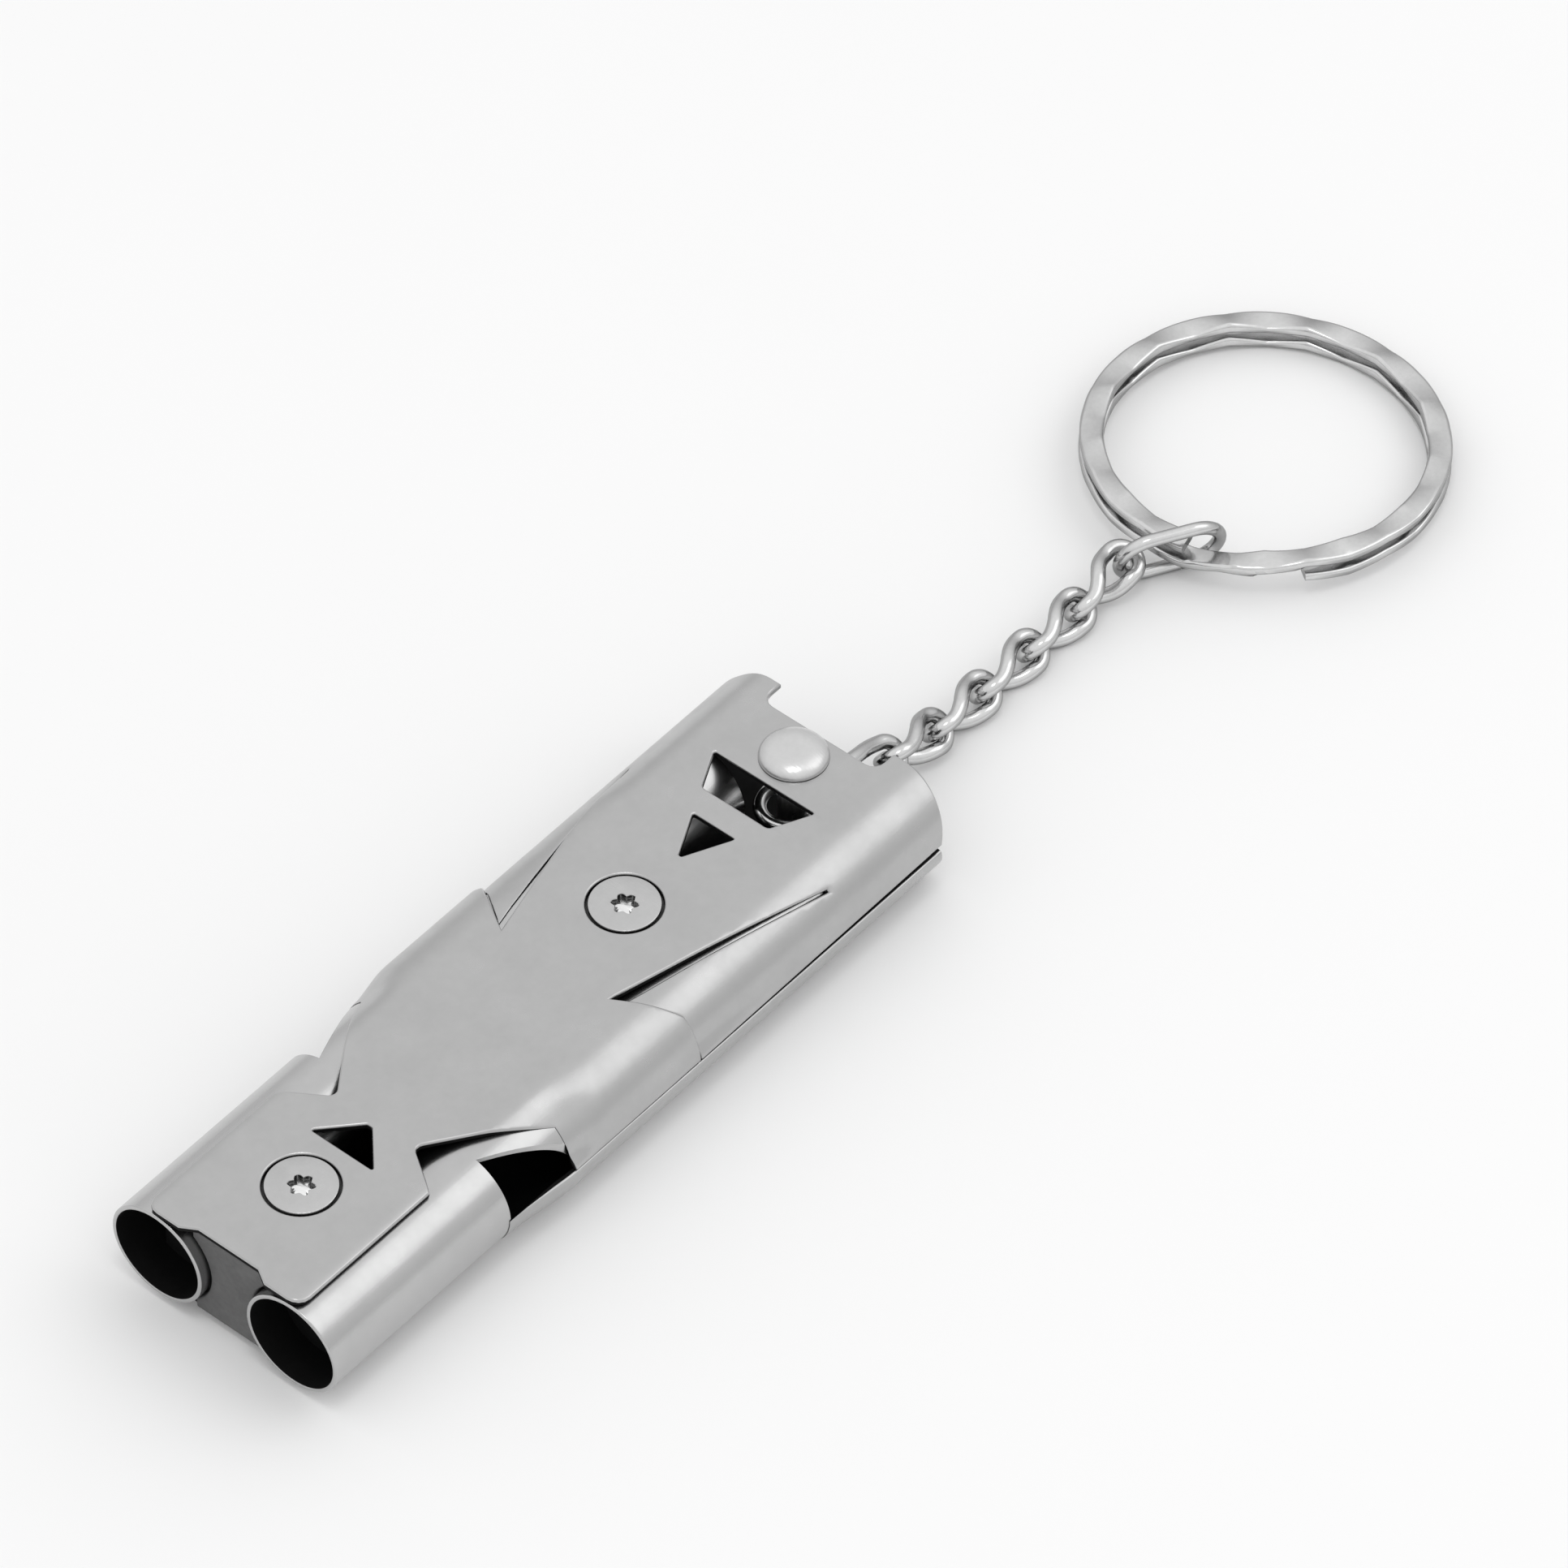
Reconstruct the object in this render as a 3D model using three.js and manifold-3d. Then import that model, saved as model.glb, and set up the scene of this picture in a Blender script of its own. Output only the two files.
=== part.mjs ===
// A flat two-pipe signal whistle in sheet steel, with a twisted curb chain and a split key ring.
// Millimetres. X runs from the mouth to the ring, Y across the pipes, Z up from the flat back face.
import * as THREE from 'three';
import { mergeVertices } from 'three/addons/utils/BufferGeometryUtils.js';
import Module from 'manifold-3d';

const wasm = await Module();
wasm.setup();

// Whistle body: two pipes side by side between two sheet covers
const bodyLength = 54.8;
const pipeSpacing = 10.4;
const pipeRadius = 3.45;
const pipeWall = 0.3;
const sheet = 0.4;
const seatGap = 0.15;
const fitGap = 0.3;
const seamGap = 0.3;

// Side window of each pipe, square at the mouth side and slanted towards the ring
const windowStart = 15.2;
const windowLength = 6.3;
const windowFloor = 0.85;

// Cover blank: distances along X from the mouth, and widths across the sheet from its middle line
const lipHalfWidth = 6.0;
const lipLength = 11.3;
const lipCornerRadius = 1.0;
const mouthRecessDepth = 0.6;
const mouthRecessHalfWidth = 2.3;
const mouthRecessSlope = 1.0;
const frontNotchTip = { x: 13.3, width: 3.0 };
const middleTabStart = 20.5;
const backTabStart = 16.4;
const backLipSetback = 1.2;
const middleTabLength = 11.1;
const tabRootWidth = 8.1;
const rearSlitTip = { x: 29.2, width: 4.2 };
const rearSlitWidth = 0.42;
const rearSlitEndWidth = 0.15;
const tabGap = 0.3;
const endTabLength = 10.2;
const notchRounding = 0.7;
const endRake = 1.3;
const endRecessDepth = 1.7;
const endRecessHalfWidth = 4.4;
const endRecessRounding = 0.8;

// Cut-outs in the front cover
const mouthTriangleBase = 10.4;
const mouthTriangleLength = 2.6;
const mouthTriangleHalfWidth = 2.4;
const splitTriangleSetback = 2.7;
const splitTriangleLength = 7.9;
const splitTriangleHalfWidth = 3.9;
const splitWindowLength = 2.7;
const splitBarWidth = 1.9;
const cutoutRounding = 0.35;

// Screws, nuts and the chain rivet
const frontScrewX = 6.9;
const middleScrewSetback = 19.4;
const screwHeadRadius = 2.2;
const screwGap = 0.2;
const screwLand = 0.15;
const screwShankRadius = 0.9;
const screwTipHeight = 1.0;
const lobeRadius = 0.72;
const lobeDepth = 0.12;
const lobeCount = 6;
const recessDepth = 0.7;
const nutConeHeight = 0.9;
const nutBarrelRadius = 1.6;
const nutHeight = 1.6;
const nutFloor = 0.65;
const rivetInset = 4.0;
const rivetShankRadius = 1.0;
const rivetDomeRadius = 2.15;
const rivetDomeHeight = 0.85;
const rivetTailRadius = 1.45;
const rivetSeat = 0.05;

// Blocks between and inside the pipes
const coreAhead = 6.2;
const coreBehind = 3.1;
const coreHalfWidth = 2.9;
const windwayPlugInset = 2.5;
const windwayFloor = 1.6;
const stopLength = 3.0;
const nearStopInset = 1.0;
const farStopInset = 4.2;

// Chain: an oval anchor link, then equal links twisted a quarter turn from end to end
const linkWire = 0.85;
const linkGap = 0.4;
const linkPitch = 4.5;
const linkHalfWidth = 1.2;
const linkStartRoll = THREE.MathUtils.degToRad(-65);
const linkTwist = THREE.MathUtils.degToRad(90);
const anchorStraight = 2.5;
const anchorHeading = THREE.MathUtils.degToRad(-12);
const chainOffset = -1.5;
const linkCount = 6;
const firstFalls = [0.44, 0.9];
const firstRolls = [-16, -8].map(THREE.MathUtils.degToRad);
const connectorHeading = THREE.MathUtils.degToRad(-34);
const connectorRoll = THREE.MathUtils.degToRad(105);
const connectorSlack = 0.3;
const connectorRoom = 0.9;

// Split ring of flat wire, wound nearly twice
const ringDiameter = 23.0;
const ringWireWidth = 1.5;
const ringWireHeight = 0.7;
const ringWireChamfer = 0.18;
const ringCoilGap = 0.45;
const ringEndLead = THREE.MathUtils.degToRad(2);
const ringCrossing = THREE.MathUtils.degToRad(39);
const ringTilt = THREE.MathUtils.degToRad(3.6);
const ringHeading = THREE.MathUtils.degToRad(10);

// Fineness of the round forms
const pipeSegments = 40;
const smallSegments = 24;
const bendSegments = 8;
const cornerSegments = 4;
const wireSides = 8;
const lobeSteps = 6;
const loopArcSteps = 7;
const loopStraightSteps = 4;
const ringStepsPerTurn = 36;
const overshoot = 2;

// Sizes that follow from those above
const wrapInner = pipeRadius + seatGap;
const wrapOuter = wrapInner + sheet;
const midHeight = wrapOuter;
const bodyHeight = 2 * wrapOuter;
const halfSpacing = pipeSpacing / 2;
const pipeBore = pipeRadius - pipeWall;
const plugRadius = pipeBore - fitGap;
const wireRadius = linkWire / 2;
const anchorRadius = rivetShankRadius + fitGap + wireRadius;
const rivetX = bodyLength - rivetInset;
const pipeLength = rivetX - anchorRadius - wireRadius - fitGap;
const middleTabEnd = middleTabStart + middleTabLength;
const endTabStart = bodyLength - endTabLength;
const middleScrewX = bodyLength - middleScrewSetback;
const linkReach = linkWire + linkGap;
const linkHalfLength = (linkPitch + linkReach) / 2;
const linkRest = wireRadius + linkHalfWidth * Math.abs(Math.sin(linkStartRoll));
const ringHeight = 2 * ringWireHeight + ringCoilGap;
const ringRadius = (ringDiameter - ringWireWidth) / 2;
const ringRise = ringRadius * Math.sin(ringTilt);
const ringCentreHeight = (ringDiameter / 2) * Math.sin(ringTilt) + (ringHeight / 2) * Math.cos(ringTilt);
const connectorHeight = ringCentreHeight + ringRise;
const connectorHalfWidth = ringHeight / 2 + 2 * fitGap + wireRadius;
const connectorClear = connectorHalfWidth - wireRadius - fitGap;
const ringHalfCut = ringWireWidth / (2 * Math.cos(ringHeading - connectorHeading));
const ringSideRoom = Math.sqrt(connectorClear ** 2 - (ringHeight / 2) ** 2) - connectorSlack;
const ringSetback = connectorHalfWidth + ringHalfCut - ringSideRoom;
const connectorHalfLength = (linkReach + wireRadius + connectorRoom + ringHalfCut + ringSetback) / 2;

// Materials
const steel = (color, roughness) => new THREE.MeshStandardMaterial({ color, roughness, metalness: 1 });
const coverSteel = steel(0xb9b9b9, 0.38);
const pipeSteel = steel(0xd2d2d2, 0.3);
const fastenerSteel = steel(0xc4c4c4, 0.3);
const wireSteel = steel(0xc8c8c8, 0.22);
const darkPlastic = new THREE.MeshStandardMaterial({ color: 0x3c3c3c, roughness: 0.7, metalness: 0 });

// Solids: closed geometry to a boolean solid and back
function solidOf(geometry) {
  const bare = geometry.clone();
  bare.deleteAttribute('normal');
  bare.deleteAttribute('uv');
  const welded = mergeVertices(bare, 1e-5);
  const vertProperties = new Float32Array(welded.attributes.position.array);
  const triVerts = new Uint32Array(welded.index.array);
  return new wasm.Manifold(new wasm.Mesh({ numProp: 3, vertProperties, triVerts }));
}

function geometryOf(solid) {
  const mesh = solid.getMesh();
  const geometry = new THREE.BufferGeometry();
  geometry.setAttribute('position', new THREE.BufferAttribute(mesh.vertProperties, 3));
  geometry.setIndex(new THREE.BufferAttribute(mesh.triVerts, 1));
  return geometry;
}

function cut(base, tools) {
  const solid = tools.reduce((left, tool) => left.subtract(solidOf(tool)), solidOf(base));
  return geometryOf(solid);
}

// Extrusions: a plan outline goes along Z, a cross-section along X, a side outline along Y
const axisX = new THREE.Vector3(1, 0, 0);
const axisY = new THREE.Vector3(0, 1, 0);
const axisZ = new THREE.Vector3(0, 0, 1);
const sectionBasis = new THREE.Matrix4().makeBasis(axisY, axisZ, axisX);
const sideBasis = new THREE.Matrix4().makeBasis(axisX, axisZ, axisY.clone().negate());

function extrudePlan(shape, low, high) {
  const options = { depth: high - low, bevelEnabled: false, curveSegments: cornerSegments };
  return new THREE.ExtrudeGeometry(shape, options).translate(0, 0, low);
}

function extrudeSection(shape, start, end) {
  const options = { depth: end - start, bevelEnabled: false, curveSegments: bendSegments };
  return new THREE.ExtrudeGeometry(shape, options).applyMatrix4(sectionBasis).translate(start, 0, 0);
}

function extrudeSide(shape, halfDepth) {
  const options = { depth: 2 * halfDepth, bevelEnabled: false, curveSegments: bendSegments };
  return new THREE.ExtrudeGeometry(shape, options).applyMatrix4(sideBasis).translate(0, halfDepth, 0);
}

// A revolved profile of [radius, height] points, standing along Z or lying along X
function revolve(profile, segments) {
  const points = profile.map(([radius, height]) => new THREE.Vector2(radius, height));
  return new THREE.LatheGeometry(points, segments).rotateX(Math.PI / 2);
}

function revolveAlongX(profile, segments) {
  return revolve(profile, segments).rotateY(Math.PI / 2);
}

// A closed outline whose corners are rounded over a given length of each side
function roundedShape(corners, rounding) {
  const points = corners.map(([x, y]) => new THREE.Vector2(x, y));
  const shape = new THREE.Shape();
  points.forEach((corner, i) => {
    const before = points[(i + points.length - 1) % points.length];
    const after = points[(i + 1) % points.length];
    const entry = corner.clone().add(before.clone().sub(corner).setLength(rounding));
    const exit = corner.clone().add(after.clone().sub(corner).setLength(rounding));
    if (i === 0) {
      shape.moveTo(entry.x, entry.y);
    } else {
      shape.lineTo(entry.x, entry.y);
    }
    shape.quadraticCurveTo(corner.x, corner.y, exit.x, exit.y);
  });
  shape.closePath();
  return shape;
}

// Where a line drawn on the flat sheet lies in plan once the sheet is wrapped round a pipe
function planWidth(width) {
  const wrapped = Math.max(width - halfSpacing, 0);
  return Math.min(width, halfSpacing) + wrapOuter * Math.sin(wrapped / wrapOuter);
}

function blankEdge(shape, from, to) {
  for (let i = 1; i <= bendSegments; i++) {
    const x = THREE.MathUtils.lerp(from.x, to.x, i / bendSegments);
    const width = THREE.MathUtils.lerp(from.width, to.width, i / bendSegments);
    shape.lineTo(x, planWidth(width));
  }
}

// Rounds a notch tip between the two edges that run into it
function notchTip(shape, entry, tip, exit) {
  const corner = new THREE.Vector2(tip.x, planWidth(tip.width));
  const start = corner.clone().add(entry.clone().sub(corner).setLength(notchRounding));
  shape.lineTo(start.x, start.y);
  const run = new THREE.Vector2(exit.x - tip.x, exit.width - tip.width).setLength(notchRounding);
  const leave = { x: tip.x + run.x, width: tip.width + run.y };
  shape.quadraticCurveTo(corner.x, corner.y, leave.x, planWidth(leave.width));
  blankEdge(shape, leave, exit);
}

// Cover sheets

// Cross-section of the upper cover: flat over the middle, a quarter turn round each pipe
function coverSection() {
  const seam = seamGap / 2;
  const outerEnd = Math.asin(seam / wrapOuter);
  const innerEnd = Math.asin(seam / wrapInner);
  const shape = new THREE.Shape();
  shape.absarc(-halfSpacing, midHeight, wrapOuter, Math.PI - outerEnd, Math.PI / 2, true);
  shape.absarc(halfSpacing, midHeight, wrapOuter, Math.PI / 2, outerEnd, true);
  shape.absarc(halfSpacing, midHeight, wrapInner, innerEnd, Math.PI / 2, false);
  shape.absarc(-halfSpacing, midHeight, wrapInner, Math.PI / 2, Math.PI - innerEnd, false);
  shape.closePath();
  return shape;
}

// What is cut away beside the mouth lip, as far as where the tab starts, on the +Y side
function lipSideShape(tabStart) {
  const far = halfSpacing + wrapOuter + overshoot;
  const shape = new THREE.Shape();
  shape.moveTo(-overshoot, far);
  shape.lineTo(-overshoot, lipHalfWidth - lipCornerRadius);
  shape.lineTo(0, lipHalfWidth - lipCornerRadius);
  shape.quadraticCurveTo(0, lipHalfWidth, lipCornerRadius, lipHalfWidth);
  shape.lineTo(lipLength, lipHalfWidth);
  notchTip(shape, new THREE.Vector2(lipLength, lipHalfWidth), frontNotchTip,
    { x: tabStart, width: tabRootWidth });
  shape.lineTo(tabStart, far);
  shape.closePath();
  return shape;
}

// The slit that frees a tongue of the sheet on the +Y side: slanted along the plate from the end tab,
// then across behind the middle tab
function rearSlitShape() {
  const far = halfSpacing + wrapOuter + overshoot;
  const rise = tabRootWidth - rearSlitTip.width;
  const slant = new THREE.Vector2(endTabStart - rearSlitTip.x, rise).normalize();
  const across = new THREE.Vector2(middleTabEnd - rearSlitTip.x, rise).normalize();
  const spread = slant.cross(across);
  const inner = new THREE.Vector2(rearSlitTip.x, rearSlitTip.width)
    .addScaledVector(slant, tabGap / spread)
    .addScaledVector(across, rearSlitWidth / spread);
  const tongueX = middleTabEnd + tabGap;
  const corner = inner.clone().addScaledVector(across, (tongueX - inner.x) / across.x);
  const tabRoot = { x: middleTabEnd, width: tabRootWidth };
  const upperEnd = { x: endTabStart, width: tabRootWidth };
  const lowerEnd = { x: endTabStart, width: tabRootWidth + rearSlitEndWidth };
  const tongueTip = { x: inner.x, width: inner.y };
  const tongueCorner = { x: corner.x, width: corner.y };
  const shape = new THREE.Shape();
  shape.moveTo(middleTabEnd, far);
  shape.lineTo(middleTabEnd, planWidth(tabRootWidth));
  blankEdge(shape, tabRoot, rearSlitTip);
  blankEdge(shape, rearSlitTip, upperEnd);
  shape.lineTo(endTabStart, planWidth(lowerEnd.width));
  blankEdge(shape, lowerEnd, tongueTip);
  blankEdge(shape, tongueTip, tongueCorner);
  shape.lineTo(tongueX, far);
  shape.closePath();
  return shape;
}

function mouthRecessShape() {
  const wide = mouthRecessHalfWidth + mouthRecessSlope;
  const shape = new THREE.Shape();
  shape.moveTo(-overshoot, -wide);
  shape.lineTo(0, -wide);
  shape.lineTo(mouthRecessDepth, -mouthRecessHalfWidth);
  shape.lineTo(mouthRecessDepth, mouthRecessHalfWidth);
  shape.lineTo(0, wide);
  shape.lineTo(-overshoot, wide);
  shape.closePath();
  return shape;
}

function endRecessShape() {
  const inner = bodyLength - endRecessDepth;
  const outer = bodyLength + overshoot;
  return roundedShape([
    [inner, -endRecessHalfWidth],
    [outer, -endRecessHalfWidth],
    [outer, endRecessHalfWidth],
    [inner, endRecessHalfWidth],
  ], endRecessRounding);
}

// The ring end of both covers leans in towards the seam between them
function endRakeShape() {
  const shape = new THREE.Shape();
  shape.moveTo(bodyLength, bodyHeight);
  shape.lineTo(bodyLength - endRake, midHeight);
  shape.lineTo(bodyLength, 0);
  shape.lineTo(bodyLength + overshoot, 0);
  shape.lineTo(bodyLength + overshoot, bodyHeight);
  shape.closePath();
  return shape;
}

// A triangle in the plan, base at one X and apex at another
function triangleShape(baseX, apexX, halfWidth) {
  return roundedShape([[baseX, -halfWidth], [apexX, 0], [baseX, halfWidth]], cutoutRounding);
}

// The large triangle is crossed by a bar, which leaves a small triangle and a broad window
function splitTriangleShapes() {
  const base = rivetX - splitTriangleSetback;
  const apex = base - splitTriangleLength;
  const barRear = base - splitWindowLength;
  const barFront = barRear - splitBarWidth;
  const widthAt = (x) => splitTriangleHalfWidth * (x - apex) / splitTriangleLength;
  const window = roundedShape([
    [base, -splitTriangleHalfWidth],
    [base, splitTriangleHalfWidth],
    [barRear, widthAt(barRear)],
    [barRear, -widthAt(barRear)],
  ], cutoutRounding);
  return [window, triangleShape(barFront, apex, widthAt(barFront))];
}

function throughBody(shape) {
  return extrudePlan(shape, -overshoot, bodyHeight + overshoot);
}

function onBothSides(shape) {
  const tool = throughBody(shape);
  return [tool, tool.clone().rotateX(Math.PI).translate(0, 0, bodyHeight)];
}

// Cuts that the two covers share
function sharedCoverCuts(tabStart) {
  return [
    ...onBothSides(lipSideShape(tabStart)),
    throughBody(endRecessShape()),
    extrudeSide(endRakeShape(), halfSpacing + wrapOuter + overshoot),
  ];
}

function frontCover() {
  const mouthTriangle = triangleShape(mouthTriangleBase, mouthTriangleBase + mouthTriangleLength,
    mouthTriangleHalfWidth);
  return cut(extrudeSection(coverSection(), 0, bodyLength), [
    ...sharedCoverCuts(middleTabStart),
    throughBody(mouthRecessShape()),
    ...onBothSides(rearSlitShape()),
    throughBody(mouthTriangle),
    ...splitTriangleShapes().map(throughBody),
    screwSeat().translate(frontScrewX, 0, bodyHeight),
    screwSeat().translate(middleScrewX, 0, bodyHeight),
    rivetHole().translate(rivetX, 0, 0),
  ]);
}

function backCover() {
  const turned = extrudeSection(coverSection(), backLipSetback, bodyLength)
    .rotateX(Math.PI)
    .translate(0, 0, bodyHeight);
  return cut(turned, [
    ...sharedCoverCuts(backTabStart),
    nutSeat().translate(frontScrewX, 0, 0),
    nutSeat().translate(middleScrewX, 0, 0),
    rivetHole().translate(rivetX, 0, 0),
  ]);
}

// Pipes and what fills them

// A pipe along X about its own axis, with its side window facing +Y
function pipe() {
  const tube = revolveAlongX([
    [pipeBore, 0],
    [pipeRadius, 0],
    [pipeRadius, pipeLength],
    [pipeBore, pipeLength],
    [pipeBore, 0],
  ], pipeSegments);
  const rise = (pipeRadius - windowFloor) / windowLength;
  const shape = new THREE.Shape();
  shape.moveTo(windowStart, windowFloor);
  shape.lineTo(windowStart + windowLength + overshoot, pipeRadius + rise * overshoot);
  shape.lineTo(windowStart, pipeRadius + rise * overshoot);
  shape.closePath();
  return cut(tube, [extrudePlan(shape, -pipeRadius - overshoot, pipeRadius + overshoot)]);
}

function plug(start, end) {
  return revolveAlongX([[0, start], [plugRadius, start], [plugRadius, end], [0, end]], smallSegments);
}

// The block in the mouth leaves a flat windway under the pipe's outer side, which is +Y
function windwayPlug() {
  const flat = new THREE.BoxGeometry(windowStart + overshoot, plugRadius, 2 * plugRadius + overshoot)
    .translate((windowStart + overshoot) / 2, windwayFloor + plugRadius / 2, 0);
  return cut(plug(windwayPlugInset, windowStart - fitGap), [flat]);
}

function endStop(inset) {
  const end = pipeLength - inset;
  return plug(end - stopLength, end);
}

// Waisted block between the pipes, about its screw
function core() {
  const length = coreAhead + coreBehind;
  const height = bodyHeight - 2 * (sheet + seatGap);
  const block = new THREE.BoxGeometry(length, 2 * coreHalfWidth, height)
    .translate((coreBehind - coreAhead) / 2, 0, midHeight);
  const reach = length + 2 * overshoot;
  const clearance = pipeRadius + seatGap;
  const groove = revolveAlongX([[0, 0], [clearance, 0], [clearance, reach], [0, reach]], pipeSegments)
    .translate(-coreAhead - overshoot, 0, midHeight);
  return cut(block, [
    groove.clone().translate(0, -halfSpacing, 0),
    groove.clone().translate(0, halfSpacing, 0),
    screwSeat().translate(0, 0, bodyHeight),
    nutSeat(),
  ]);
}

// Fasteners

// Flush countersunk screw, its head face at height 0 and its shank below
function screwProfile(spread) {
  const coneDepth = screwHeadRadius - screwShankRadius;
  const tip = bodyHeight - screwTipHeight;
  return [
    [0, -tip - spread],
    [screwShankRadius + spread, -tip - spread],
    [screwShankRadius + spread, -screwLand - coneDepth],
    [screwHeadRadius + spread, -screwLand],
  ];
}

function screw() {
  const body = revolve([...screwProfile(0), [screwHeadRadius, 0], [0, 0]], smallSegments);
  const lobes = new THREE.Shape();
  const steps = lobeSteps * lobeCount;
  for (let i = 0; i < steps; i++) {
    const angle = 2 * Math.PI * i / steps;
    const radius = lobeRadius + lobeDepth * Math.cos(lobeCount * angle);
    const x = radius * Math.cos(angle);
    const y = radius * Math.sin(angle);
    if (i === 0) {
      lobes.moveTo(x, y);
    } else {
      lobes.lineTo(x, y);
    }
  }
  lobes.closePath();
  return cut(body, [extrudePlan(lobes, -recessDepth, overshoot)]);
}

function screwSeat() {
  const rim = screwHeadRadius + screwGap;
  return revolve([...screwProfile(screwGap), [rim, overshoot], [0, overshoot]], smallSegments);
}

// Flush nut, its slotless face at height 0 and its blind bore open at the top
function nut() {
  const bore = screwShankRadius + screwGap;
  return revolve([
    [0, 0],
    [screwHeadRadius, 0],
    [screwHeadRadius, screwLand],
    [nutBarrelRadius, nutConeHeight],
    [nutBarrelRadius, nutHeight],
    [bore, nutHeight],
    [bore, nutFloor],
    [0, nutFloor],
  ], smallSegments);
}

function nutSeat() {
  const rim = screwHeadRadius + screwGap;
  const barrel = nutBarrelRadius + screwGap;
  return revolve([
    [0, -overshoot],
    [rim, -overshoot],
    [rim, screwLand],
    [barrel, nutConeHeight],
    [barrel, nutHeight + screwGap],
    [0, nutHeight + screwGap],
  ], smallSegments);
}

// Domed head on the front, shank across the body, tail countersunk flush in the back
function rivet() {
  const seat = bodyHeight + rivetSeat;
  const profile = [
    [0, 0],
    [rivetTailRadius, 0],
    [rivetShankRadius, rivetTailRadius - rivetShankRadius],
    [rivetShankRadius, seat],
  ];
  for (let i = 0; i <= bendSegments; i++) {
    const angle = Math.PI / 2 * i / bendSegments;
    const radius = i === bendSegments ? 0 : rivetDomeRadius * Math.cos(angle);
    profile.push([radius, seat + rivetDomeHeight * Math.sin(angle)]);
  }
  return revolve(profile, smallSegments);
}

function rivetHole() {
  const shank = rivetShankRadius + fitGap;
  const tail = rivetTailRadius + fitGap;
  return revolve([
    [0, -overshoot],
    [tail, -overshoot],
    [tail, 0],
    [shank, tail - shank],
    [shank, bodyHeight + overshoot],
    [0, bodyHeight + overshoot],
  ], smallSegments);
}

// Wire forms

// Joins rings of points into a skin, closed on itself or capped at both ends
function skin(rings, closed) {
  const count = rings[0].length;
  const index = [];
  const spans = closed ? rings.length : rings.length - 1;
  for (let i = 0; i < spans; i++) {
    const here = i * count;
    const next = ((i + 1) % rings.length) * count;
    for (let j = 0; j < count; j++) {
      const k = (j + 1) % count;
      index.push(here + j, here + k, next + k, here + j, next + k, next + j);
    }
  }
  if (!closed) {
    const last = (rings.length - 1) * count;
    for (let j = 1; j < count - 1; j++) {
      index.push(0, j + 1, j, last, last + j, last + j + 1);
    }
  }
  const positions = rings.flat().flatMap((point) => point.toArray());
  const geometry = new THREE.BufferGeometry();
  geometry.setAttribute('position', new THREE.Float32BufferAttribute(positions, 3));
  geometry.setIndex(index);
  return geometry;
}

// Middle line of an oval link: [x, sideways, outward x, outward sideways], two arcs and two straights
function ovalLine(halfLength, halfWidth) {
  const straight = halfLength - halfWidth;
  const line = [];
  for (const end of [1, -1]) {
    for (let i = 0; i <= loopArcSteps; i++) {
      const angle = Math.PI * (i / loopArcSteps - 0.5);
      const out = [end * Math.cos(angle), end * Math.sin(angle)];
      line.push([end * straight + halfWidth * out[0], halfWidth * out[1], ...out]);
    }
    for (let i = 1; i < loopStraightSteps; i++) {
      const x = end * straight * (1 - 2 * i / loopStraightSteps);
      line.push([x, end * halfWidth, 0, end]);
    }
  }
  return line;
}

// A closed wire loop along X, turned about X by the roll that its two ends have
function wireLoop(halfLength, halfWidth, startRoll, endRoll) {
  const straight = halfLength - halfWidth;
  const rollAt = (x) => {
    const share = THREE.MathUtils.clamp((x / straight + 1) / 2, 0, 1);
    return THREE.MathUtils.lerp(startRoll, endRoll, share);
  };
  const stations = ovalLine(halfLength, halfWidth).map(([x, side, outX, outSide]) => {
    const roll = rollAt(x);
    const across = new THREE.Vector3(0, Math.cos(roll), Math.sin(roll));
    return {
      point: across.clone().multiplyScalar(side).setX(x),
      out: across.clone().multiplyScalar(outSide).setX(outX),
    };
  });
  const rings = stations.map(({ point, out }, i) => {
    const before = stations[(i + stations.length - 1) % stations.length].point;
    const after = stations[(i + 1) % stations.length].point;
    const along = after.clone().sub(before).normalize();
    const normal = out.clone().addScaledVector(along, -out.dot(along)).normalize();
    const binormal = along.clone().cross(normal);
    return Array.from({ length: wireSides }, (unused, j) => {
      const angle = 2 * Math.PI * (j + 0.5) / wireSides;
      return point.clone()
        .addScaledVector(normal, wireRadius * Math.cos(angle))
        .addScaledVector(binormal, wireRadius * Math.sin(angle));
    });
  });
  return skin(rings, true);
}

// Height of the ring's wire above the ring's middle plane, by the angle wound from the upper end
function ringLevel(wound, firstCoil) {
  const upper = (ringWireHeight + ringCoilGap) / 2;
  const share = THREE.MathUtils.smoothstep(wound, firstCoil, firstCoil + ringCrossing);
  return upper * (1 - 2 * share);
}

// Split ring about its own centre: it winds clockwise from its upper end to its lower end
function splitRing() {
  const firstCoil = 2 * Math.PI - ringCrossing;
  const total = 2 * firstCoil + ringCrossing;
  const steps = Math.round(ringStepsPerTurn * total / (2 * Math.PI));
  const halfWidth = ringWireWidth / 2;
  const halfHeight = ringWireHeight / 2;
  const section = [
    [-halfWidth + ringWireChamfer, -halfHeight],
    [halfWidth - ringWireChamfer, -halfHeight],
    [halfWidth, -halfHeight + ringWireChamfer],
    [halfWidth, halfHeight - ringWireChamfer],
    [halfWidth - ringWireChamfer, halfHeight],
    [-halfWidth + ringWireChamfer, halfHeight],
    [-halfWidth, halfHeight - ringWireChamfer],
    [-halfWidth, -halfHeight + ringWireChamfer],
  ];
  const rings = [];
  for (let i = 0; i <= steps; i++) {
    const wound = total * i / steps;
    const angle = Math.PI + ringEndLead - wound;
    const level = ringLevel(wound, firstCoil);
    rings.push(section.map(([outward, rise]) => {
      const radius = ringRadius + outward;
      return new THREE.Vector3(radius * Math.cos(angle), radius * Math.sin(angle), level + rise);
    }));
  }
  reportLeastGap('split_ring', rings, ringStepsPerTurn / 2);
  return skin(rings, false);
}

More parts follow.
